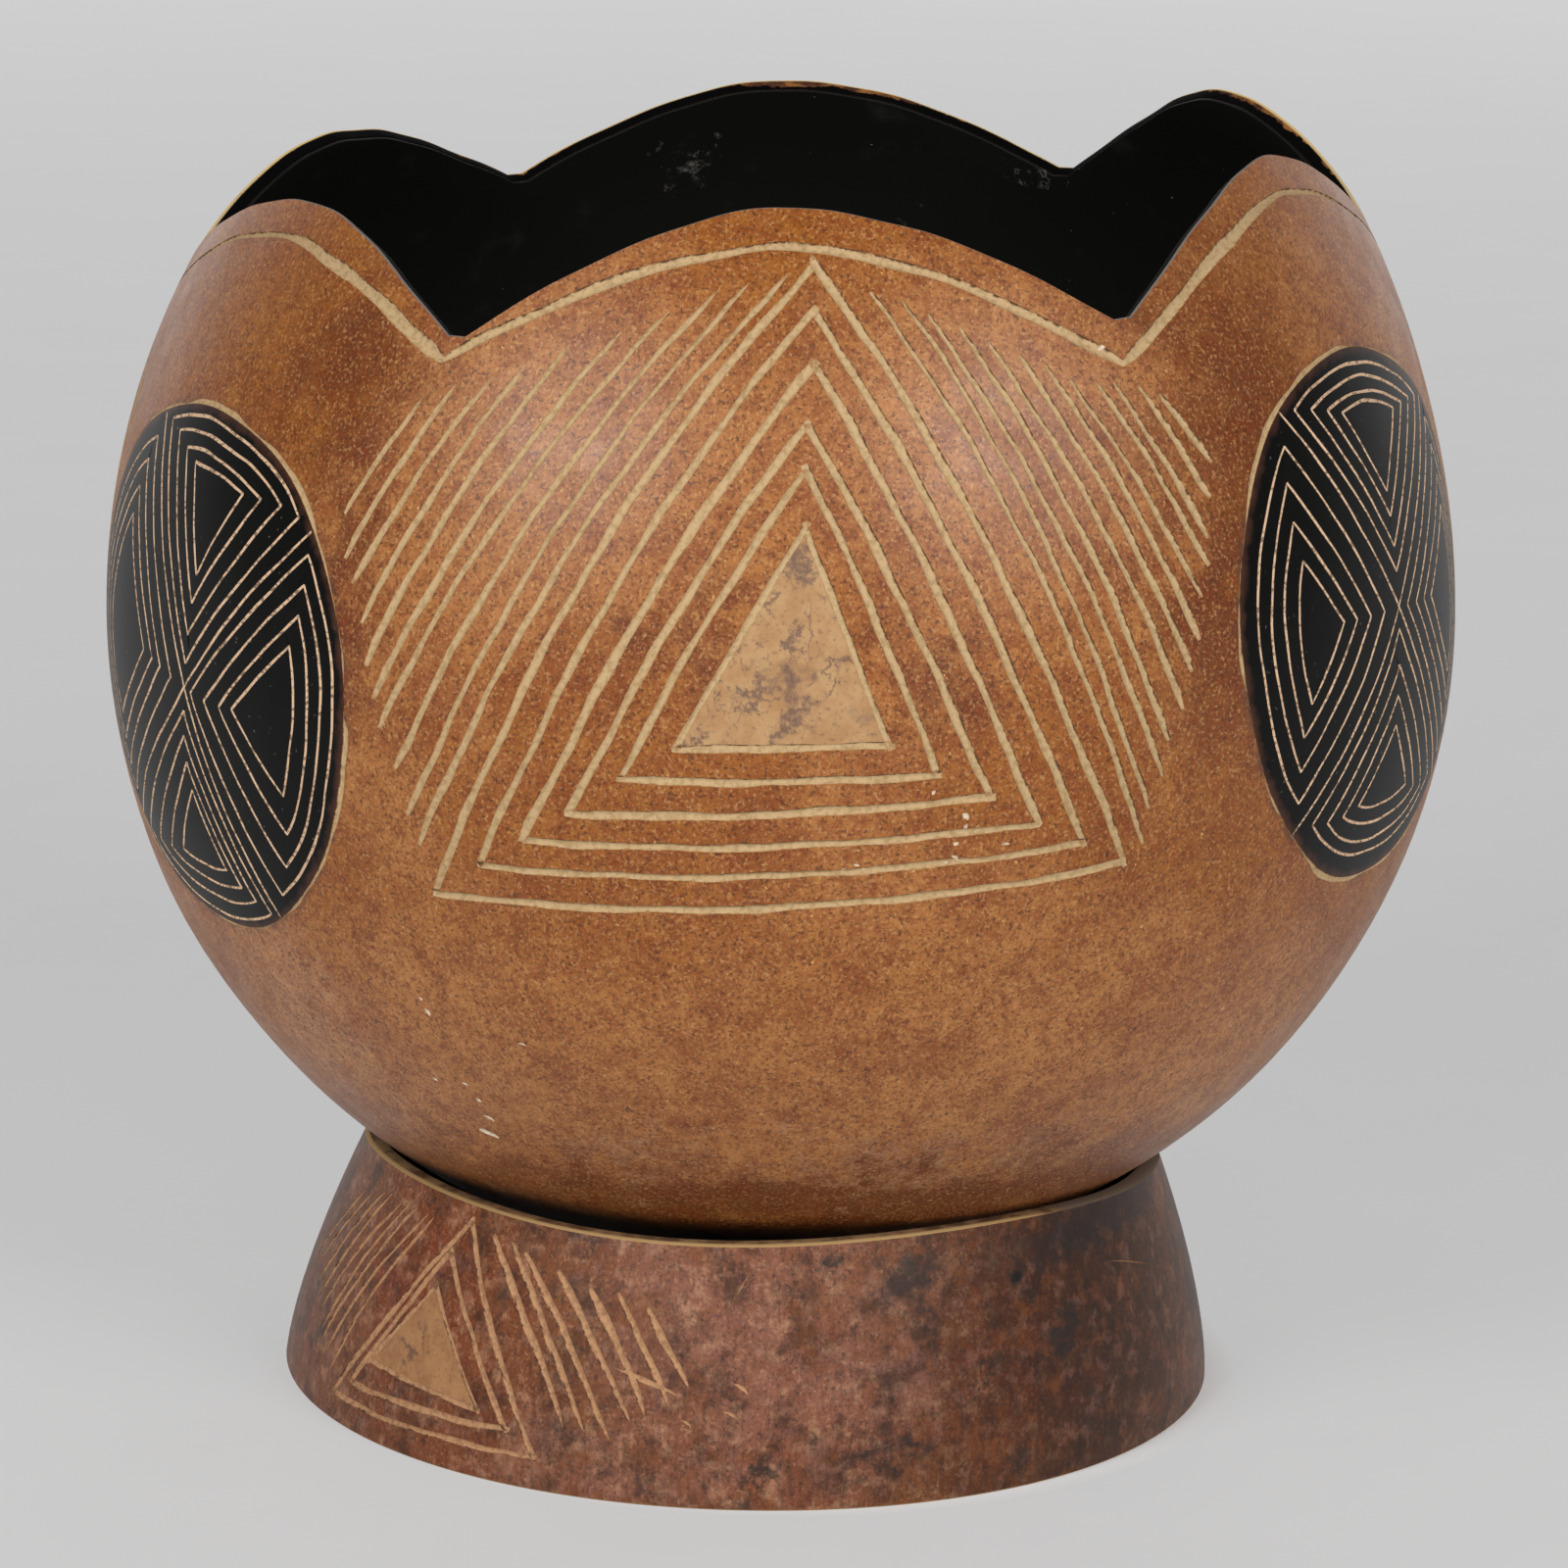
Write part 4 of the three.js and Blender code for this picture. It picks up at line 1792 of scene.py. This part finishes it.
@dataclass(frozen=True)
class RingForm:
    """The foot ring's shape: an oblique, slightly bulging cone whose rim is trimmed to the bowl.

    Attributes:
        bowl: shape of the bowl that stands in it.
        base: outside radius on the ground, mm.
        top: outside radius at the rim.
        wall: thickness.
        bulge: 1 is a straight cone, more keeps the foot upright near the ground.
        place: X of the middle of its base.
        skew: how far the middle of its rim sits from the middle of its base.
        dip: how much lower the rim is between its high spots.
        seats: number of high spots.
        seat_azimuth: of the first of them, degrees.
        close_azimuth: middle of a stretch that was cut nearer to the bowl, degrees.
        close_width: half of its width, degrees.
        close_share: share of the dip that was left standing there.
        clearance: between the high spots and the bowl.
        reach: radius that the flat plan is unrolled from.
        rise: height of the flat plan.
    """

    bowl: BowlForm = BowlForm()
    base: float = 77.5
    top: float = 66.0
    wall: float = 2.8
    bulge: float = 1.41
    place: float = -3.1
    skew: Point = (2.1, -5.5)
    dip: float = 2.8
    seats: int = 3
    seat_azimuth: float = 45.0
    close_azimuth: float = 78.0
    close_width: float = 24.0
    close_share: float = 0.9
    clearance: float = 0.3
    reach: float = 72.0
    rise: float = 40.0

    def rim_height(self, azimuth: Array) -> Array:
        """Height of the rim: the leaning bowl's underside, less the clearance and the dip.

        The underside is the lower root t of |foot + t way|^2 = 1, both measured in half-axes of the bowl. The
        dip goes as (1 - cos(seats * angle)) / 2, and is shallower in the stretch cut nearer to the bowl.

        Args:
            azimuth: radians.

        Returns:
            Heights, mm.
        """
        seat = self.top - self.wall
        x = seat * np.sin(azimuth) + self.place + self.skew[0]
        y = -seat * np.cos(azimuth) + self.skew[1]
        c, s = math.cos(math.radians(self.bowl.lean)), math.sin(math.radians(self.bowl.lean))
        sizes = np.array([self.bowl.radius, self.bowl.radius, self.bowl.depth])
        foot = np.stack([x * c, y, -x * s], axis=-1) / sizes
        way = np.array([s, 0.0, c]) / sizes
        b, a = foot @ way, way @ way
        under = self.bowl.centre + (-b - np.sqrt(b * b - a * ((foot * foot).sum(axis=-1) - 1.0))) / a
        between = 0.5 * (1.0 - np.cos(self.seats * (azimuth - math.radians(self.seat_azimuth))))
        aside = (np.degrees(azimuth) - self.close_azimuth) / self.close_width
        close = self.close_share * np.exp(-(aside ** 2))
        return under - self.clearance - self.dip * between * (1.0 - close)

    def wall_points(self, places: Array, inset: Array | float = 0.0, lower: Array | float = 0.0) -> Array:
        """Points of the wall from its flat plan (u, v), with azimuth u / reach and level v / rise.

        The radius is top + (base - top)(1 - level^bulge) - inset, the height is the rim's height times the
        level, and the middle moves by skew times the level.

        Args:
            places: points of the plan, mm.
            inset: depth under the outside, mm.
            lower: millimetres taken off the height.

        Returns:
            Points, mm.
        """
        azimuth, level = places[:, 0] / self.reach, np.clip(places[:, 1] / self.rise, 0.0, 1.0)
        radius = self.top + (self.base - self.top) * (1.0 - level ** self.bulge) - inset
        return np.stack([radius * np.sin(azimuth) + self.skew[0] * level + self.place,
                         -radius * np.cos(azimuth) + self.skew[1] * level,
                         self.rim_height(azimuth) * level - lower], axis=1)

    def normals(self, places: Array) -> Array:
        """Outward normals: the cross product of two short steps along the wall.

        Args:
            places: points of the plan, mm.

        Returns:
            Unit normals.
        """
        short = 0.01
        inner = np.stack([places[:, 0], np.clip(places[:, 1], 2 * short, self.rise - 2 * short)], axis=1)
        steps = [self.wall_points(inner + way) - self.wall_points(inner - way)
                 for way in ((short, 0.0), (0.0, short))]
        return unit(np.cross(*steps))


@dataclass
class FootRing:
    """The ring cut from a second gourd, with its one carved motif.

    Attributes:
        form: its shape.
        columns: of the mesh round the rim.
        spread: distance between the points of the plain skin, mm.
        seam: points up the seam between the foot and the rim.
        cut_clear: distance from the cuts within which no point of the plain skin lies, mm.
        scraped: depth of the scraped triangle, mm.
        char_azimuth: middle of the charred stretch of the rim, degrees.
        char_width: half of its width, degrees.
        triangles: nested triangles, in the flat plan.
        right_hatching: the cuts to the right of them.
        left_hatching: the cuts to the left of them.
        nick_marks: stray cuts in the plan, as nicks takes them.
        mauve_sheen_and_scuff_marks: painted sheen of the lamps in dull mauve, and a rubbed scuff along the
            bottom, as spots takes them.
        red_marks: places stained redder.
        smoke_marks: places smoked dark.
        char_marks: charcoal smudges.
        knot_marks: the heart of the knot.
        smudge_marks: soot on the scraped triangle.
        crack_marks: hairlines in it.
    """

    form: RingForm = field(default_factory=RingForm)
    columns: int = 240
    spread: float = 3.4
    seam: int = 9
    cut_clear: float = 0.8
    scraped: float = 0.15
    char_azimuth: float = 66.0
    char_width: float = 24.0
    triangles: NestedTriangles = NestedTriangles(
        3, ((-54.5, 37.0), (-75.5, 4.0), (-32.5, 5.6)), ((-57.2, 26.8), (-67.6, 12.2), (-43.0, 10.6)),
        2.0, 1.0, 1.02, 0.3)
    right_hatching: Hatching = Hatching(
        7, ((-48.5, 36.2), (-41.5, 35.0), (-28.0, 32.5), (-17.5, 30.5)),
        ((-28.0, 10.4), (-21.0, 10.4), (-15.5, 14.0), (-9.5, 18.0)), 14.0, (End.ROUND, End.TAPER),
        1.25, 0.3, (1.1, 0.85))
    left_hatching: Hatching = Hatching(
        9, ((-62.5, 36.5), (-73.0, 36.5), (-88.0, 34.0)),
        ((-79.5, 7.5), (-88.5, 13.0), (-102.0, 20.0)), -12.0, (End.TAPER, End.TAPER), 0.78, 0.25, (1.0, 1.0))
    nick_marks: Marks = (
        (-16.0, 19.0, 11.3, 0.8, -17), (-2.2, 33.7, 7.1, 0.35, 61), (-1.3, 18.8, 2.8, 0.8, -37),
        (-2.4, 14.6, 3.2, 0.6, -31), (-11.0, 34.5, 1.3, 0.5, -73), (-9.2, 13.2, 2.2, 0.5, -32),
        (72.3, 23.8, 5.5, 0.3, 89), (74.8, 28.8, 14.0, 0.25, -14))
    # The first two mauve marks are painted sheen of the lamps; the third is a scuff.
    mauve_sheen_and_scuff_marks: Marks = ((-2.0, 0.6, 17.0, 18.0, 0), (12.0, 0.5, 14.0, 16.0, 0), (-10.0, 0.1, 26.0, 7.0, 0))
    red_marks: Marks = ((35.0, 0.5, 11.0, 16.0, 0), (-50.0, 0.6, 16.0, 18.0, 0))
    smoke_marks: Marks = (
        (51.0, 0.5, 33.0, 34.0, 0), (95.0, 0.5, 30.0, 34.0, 0), (-100.0, 0.5, 24.0, 30.0, 0))
    char_marks: Marks = (
        (56.0, 0.95, 24.0, 4.0, 6), (20.6, 0.84, 5.0, 4.0, 0), (9.4, 0.95, 2.4, 1.8, 0),
        (36.4, 0.787, 2.8, 2.2, 0), (30.2, 0.482, 4.6, 0.35, 10), (28.8, 0.49, 1.4, 0.7, 0),
        (14.0, 0.2, 3.0, 2.4, 0), (19.0, 0.22, 3.4, 2.0, 0), (43.0, 0.53, 3.2, 2.8, 0),
        (2.0, 0.15, 4.0, 1.4, 0))
    knot_marks: Marks = ((36.4, 0.787, 1.0, 0.9, 0),)
    smudge_marks: Marks = ((-48.0, 0.4, 2.0, 1.0, 0),)
    crack_marks: Marks = ((-45.0, 0.45, 0.2, 3.0, 10),)

    def strokes(self) -> list[Stroke]:
        """Makes the motif's cuts and the stray ones, in the ring's plan.

        Returns:
            The strokes.
        """
        hand = Hand(41, 1.8)
        cuts = []
        for motif in (self.triangles, self.right_hatching, self.left_hatching):
            cuts += motif.strokes(hand, np.asarray)
        return cuts + nicks(self.nick_marks, hand, np.asarray, Region.GOUGED)

    def shows(self, places: Array) -> Array:
        """What the skin shows between the cuts, as values of Region."""
        return np.where(self.triangles.bare(places), Region.SCRAPED, Region.SKIN)

    def spots(self, marks: Marks) -> list[Spot]:
        """Marks on the ring.

        Args:
            marks: azimuth, degrees, level, half width and half height, mm, and tilt, degrees, of each.

        Returns:
            The marks in place.
        """
        rows = np.array(marks, float)
        places = np.stack([np.radians(rows[:, 0]) * self.form.reach, rows[:, 1] * self.form.rise], axis=1)
        return [Spot(tuple(centre), row[0], (row[2], row[3]), row[4])
                for centre, row in zip(self.form.wall_points(places).tolist(), rows.tolist())]

    def dress(self) -> list[Material]:
        """Makes the ring's finishes; the inside's stands in for those that it lacks.

        Returns:
            Materials, in the order of Region.
        """
        tables = (self.mauve_sheen_and_scuff_marks, self.red_marks, self.smoke_marks, self.char_marks, self.knot_marks)
        # The ring's inside is nearly black, a painted shade of the hollow under the bowl; it also stands in
        # for the finishes that the ring lacks.
        smoked = Pith("painted shade pith", "#2A1F17", "#1C1510").material()
        skin = StainedSkin().material(*(self.spots(marks) for marks in tables))
        gouged = GougedFlesh("gouged stained flesh", "#AE845F", "#8F6748", "#6A4529", "#38200F").material()
        flesh = ScrapedFlesh("scraped stained flesh", "#9F744B", "#8F6440", "#5E4236")
        scraped = flesh.material(self.spots(self.smudge_marks), self.spots(self.crack_marks))
        rim = CutEdge("sawn gourd rim", "#86684A", "#5B4330", "#A98A5E", "#A98A5E", "#6A5A4D").material()
        return [skin, gouged, smoked, scraped, smoked, rim, smoked, smoked]

    def build(self, materials: list[Material]) -> bpy.types.Object:
        """Makes the ring.

        The outside is its flat plan with the seam at the back, triangulated along every cut, wrapped round
        the wall and sewn up. Rows of points then go over the rim, down the inside and under the base.

        Args:
            materials: in the order of Region.

        Returns:
            The ring.
        """
        form, many, seam = self.form, self.columns, self.seam
        half = math.pi * form.reach
        along = np.linspace(-half, half, many + 1)
        low, high = 0.25, form.rise - 0.35
        up = np.linspace(0.0, form.rise, seam + 2)[1:-1]
        outline = np.vstack([np.stack([along, np.full_like(along, low)], axis=1),
                             np.stack([np.full(seam, half), up], axis=1),
                             np.stack([along[::-1], np.full_like(along, high)], axis=1),
                             np.stack([np.full(seam, -half), up[::-1]], axis=1)])
        plan = Plan(outline, self.strokes(), lambda places: np.ones(len(places)))
        from_foot, from_rim, from_seam = 2.6, 2.0, 1.2
        u, v = np.meshgrid(np.arange(-half + 2.0, half - 1.0, self.spread),
                           np.arange(from_foot, form.rise - from_rim, HEXAGON * self.spread))
        u = u + 0.5 * self.spread * (np.arange(len(u)) % 2)[:, None]
        filler = np.stack([u.ravel(), v.ravel()], axis=1)
        filler = filler[np.abs(filler[:, 0]) < half - from_seam]
        skin = plan.carve(filler, self.cut_clear, self.shows, self.scraped)

        top_right = many + 1 + seam
        top_left = top_right + many
        sewn = np.arange(len(skin.places))
        sewn[many] = 0
        sewn[many + 1:top_right] = np.arange(top_left + seam, top_left, -1)
        sewn[top_right] = top_left
        bottom, rim = np.arange(many), np.arange(top_left, top_right, -1)

        # Share of the rim's height of each row, and how far it is set in and lowered, mm.
        over = ((1.0, 0.3, 0.05), (1.0, 1.2, 0.0), (1.0, 2.4, 0.02), (1.0, form.wall, 0.25))
        down = tuple((share, form.wall, 0.0) for share in (0.8, 0.6, 0.4, 0.2, 0.02))
        under = ((0.0, form.wall - 0.3, 0.0), (0.0, 0.3, 0.0))
        ring = along[:-1]
        levels = [form.wall_points(np.stack([ring, np.full(many, share * form.rise)], axis=1), inset, lower)
                  for share, inset, lower in over + down + under]
        outside = form.wall_points(skin.places, skin.cuts.depth)
        points, rows, strips = close_up(outside, levels, rim, bottom)
        faces = np.vstack([sewn[skin.faces], *strips])
        slots = skin.slots(strips, range(len(over), len(over) + len(down)))
        normals = carved_normals(points, faces, slots, form.normals(skin.places))

        total = len(points)
        across, paint = padded(skin.cuts.across, total), np.full(total, -1.0)
        for row, (_, inset, _) in zip(rows[1:], over):
            across[row] = 1.0 - inset / form.wall
        charred = np.exp(-(((np.degrees(ring / form.reach) - self.char_azimuth) / self.char_width) ** 4))
        # The paint goes from -1, bare, to 0.7, charred, and the char also dulls the worn edge.
        for row in rows[:len(over) + 1]:
            paint[row] = 1.7 * charred - 1.0
            across[row] *= 1.0 - 0.4 * charred
        marks = {"across": across, "side": padded(skin.cuts.side, total), "paint": paint}
        used = np.unique(faces)
        marks = {name: values[used] for name, values in marks.items()}
        faces = np.searchsorted(used, faces)
        return make_piece("stained_foot_ring", points[used], faces, slots, materials, normals, marks)


@dataclass(frozen=True)
class StainedSkin:
    """Gourd skin stained red brown and smoked: satin and grainy, with charcoal clouds and a knot.

    It was brushed upright. Its grain is drawn at 0.6 mm, coarser than real, so that it shows.
    """

    base: str = "#6F3D1B"
    red: str = "#713110"
    mauve: str = "#875B4C"
    smoke: str = "#281306"
    char: str = "#241D1B"
    heart: str = "#0F0B0A"
    pale: str = "#BC8F6E"

    def material(self, mauve: list[Spot], red: list[Spot], smoke: list[Spot], char: list[Spot],
                 knot: list[Spot]) -> Material:
        """Builds the finish.

        Args:
            mauve: painted sheen of the lamps in dull mauve, and a rubbed scuff.
            red: places stained redder.
            smoke: places smoked dark.
            char: charcoal smudges.
            knot: the heart of the knot.

        Returns:
            The material.
        """
        r = Recipe(bpy.data.materials.new("smoked and stained gourd skin"))
        ragged = r.stir(11.0, 5.0)
        colour = r.stack(
            self.base,
            (self.red, r.mask(20.0, 0.4, 0.66, 0.6, 4.0)),
            # painted sheen in mauve, and a scuff near the bottom
            (self.mauve, r.blots(mauve, ragged, 0.6)),
            (self.red, r.blots(red, ragged, 0.8)),
            (self.pale, r.mask(3.0, 0.48, 0.68, 0.4, 6.0, 150.0)),
            (self.pale, r.mask(0.6, 0.5, 0.76, 0.42, 2.0, 90.0)),
            (self.pale, r.mask(1.1, 0.72, 0.78, 0.6, 2.0, 190.0)),
            (self.smoke, r.mask(7.0, 0.46, 0.64, 0.7, 8.0, 25.0, ragged=0.74)),
            (self.smoke, r.blots(smoke, ragged, 0.8)),
            (self.base, r.mask(5.0, 0.48, 0.66, 0.7, 7.0, 110.0, ragged=0.72)),
            (self.mauve, r.mask(3.0, 0.52, 0.68, 0.4, 5.0, 33.0)),
            (self.char, r.mask(9.0, 0.55, 0.7, 0.7, 8.0, 60.0, ragged=0.7)),
            (self.char, r.blots(char, r.stir(4.0, 2.4), 0.85)),
            (self.heart, r.blots(knot, r.place)),
            (self.char, r.mask(0.7, 0.46, 0.72, 0.35, 2.0, 30.0, (1.0, 1.0, 0.16))),
            (self.char, r.mask(0.6, 0.5, 0.74, 0.6, 2.0, 10.0)))
        return r.finish(colour, 0.46, 0.8, 0.03, 1.36)


@dataclass
class Studio:
    """Camera, lamps and a pale seamless ground.

    Attributes:
        lens: focal length, mm.
        frame_width: of the camera, mm.
        distance: from the aim point, mm.
        elevation: degrees above level.
        roll: degrees about the view axis.
        aim: point that the camera looks at, mm.
        lamp_elevation: of both lamps, degrees above level.
        lamp_distance: from the bowl's middle, mm.
        lamp_size: width and height of a lamp, mm.
        lamp_aim: height of the bowl's middle, mm.
    """

    lens: float = 133.37
    frame_width: float = 36.0
    distance: float = 961.0
    elevation: float = 13.06
    roll: float = 1.30
    aim: tuple[float, float, float] = (1.18, 0.0, 98.8)
    lamp_elevation: float = 27.0
    lamp_distance: float = 1500.0
    lamp_size: Point = (700.0, 330.0)
    lamp_aim: float = 130.0

    def camera(self) -> None:
        """Places the camera at the photograph's viewing angle."""
        data = bpy.data.cameras.new("camera")
        far_end = 50.0
        data.lens, data.sensor_width, data.clip_end = self.lens, self.frame_width, far_end
        camera = bpy.data.objects.new("camera", data)
        bpy.context.scene.collection.objects.link(camera)
        rise = math.radians(self.elevation)
        back = Vector((0.0, -math.cos(rise), math.sin(rise)))
        turn = back.to_track_quat("Z", "Y").to_matrix().to_4x4()
        turn = turn @ Matrix.Rotation(math.radians(self.roll), 4, "Z")
        camera.matrix_world = Matrix.Translation((Vector(self.aim) + back * self.distance) / MM) @ turn
        bpy.context.scene.camera = camera

    def lamp(self, name: str, azimuth: float, power: float) -> None:
        """Hangs a wide soft lamp that faces the bowl.

        Args:
            name: of the lamp.
            azimuth: degrees from the front.
            power: watts.
        """
        data = bpy.data.lights.new(name, "AREA")
        data.shape, data.energy = "RECTANGLE", power
        data.size, data.size_y = (side / MM for side in self.lamp_size)
        lamp = bpy.data.objects.new(name, data)
        bpy.context.scene.collection.objects.link(lamp)
        way = Vector(toward(np.radians(azimuth), np.radians(self.lamp_elevation)).tolist())
        place = Matrix.Translation((way * self.lamp_distance + Vector((0, 0, self.lamp_aim))) / MM)
        lamp.matrix_world = place @ way.to_track_quat("Z", "Y").to_matrix().to_4x4()

    def light(self) -> None:
        """Hangs two soft lamps, left and right of the camera, in a dim room that is bright at its far end."""
        self.lamp("left_softbox", -37.0, 13.5)
        self.lamp("right_softbox", 35.0, 13.0)
        room = bpy.data.worlds.new("studio_room")
        r = Recipe(room)
        depth = r.add("SeparateXYZ", {0: r.place}, "Y")
        fill = {"Value": depth, "From Min": 0.4, "From Max": 1.0, "To Min": 0.23, "To Max": 1.9}
        walls = r.add("Background", {"Color": linear("#E8E8E8"), "Strength": r.add("MapRange", fill)})
        r.add("OutputWorld", {"Surface": walls})
        bpy.context.scene.world = room

    def ground(self) -> None:
        """Lays the pale paper under the planter; to the eye it glows evenly, but keeps the shadow."""
        sides, radius = 96, 6.0
        turn = np.linspace(0.0, 2 * np.pi, sides, endpoint=False)
        disc = np.stack([np.cos(turn), np.sin(turn), np.zeros(sides)], axis=1) * radius
        mesh = bpy.data.meshes.new("pale_ground")
        mesh.from_pydata(disc.tolist(), [], [list(range(sides))])
        r = Recipe(bpy.data.materials.new("pale grey paper"))
        far = r.add("VectorMath", {0: r.place}, "Value", operation="LENGTH")
        matt = r.add("BsdfDiffuse", {"Color": r.stack("#EDEDED", ("#F2F2F2", r.mask(60.0, 0.3, 0.7)))})
        even = {"Value": far, "From Min": 0.3, "From Max": 2.5, "To Min": 0.84, "To Max": 1.14}
        glow = r.add("Emission", {"Color": linear("#D2D2D2"), "Strength": r.add("MapRange", even)})
        seen = r.add("LightPath", out="Is Camera Ray")
        seen = r.add("Math", {0: seen, 1: r.add("LightPath", out="Is Glossy Ray")}, operation="ADD")
        # Nothing glows under the ring, where the ground stays in its shadow.
        open_floor = r.add("MapRange", {"Value": far, "From Min": 0.074, "From Max": 0.08, "To Max": 0.75})
        share = r.add("Math", {0: seen, 1: open_floor}, operation="MULTIPLY")
        r.add("OutputMaterial", {"Surface": r.add("MixShader", {0: share, 1: matt, 2: glow})})
        mesh.materials.append(r.block)
        paper = bpy.data.objects.new("pale_ground", mesh)
        bpy.context.scene.collection.objects.link(paper)


def main() -> None:
    """Builds the camera, the pieces and the room."""
    logging.basicConfig(level=logging.INFO, format="%(name)s %(message)s")
    scene = bpy.context.scene
    scene.view_settings.view_transform = "Standard"
    studio = Studio()
    studio.camera()

    bowl = CarvedBowl()
    shell = bowl.build(bowl.dress())
    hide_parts("bowl_shell")
    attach(shell, "bowl")

    film = InsideCoat(bowl)
    coat = film.build(film.dress())
    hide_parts("inside_coat")
    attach(coat, "bowl")

    foot = FootRing()
    ring = foot.build(foot.dress())
    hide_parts("foot_ring")
    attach(ring, "foot")

    studio.light()
    studio.ground()


if __name__ == "__main__":
    main()
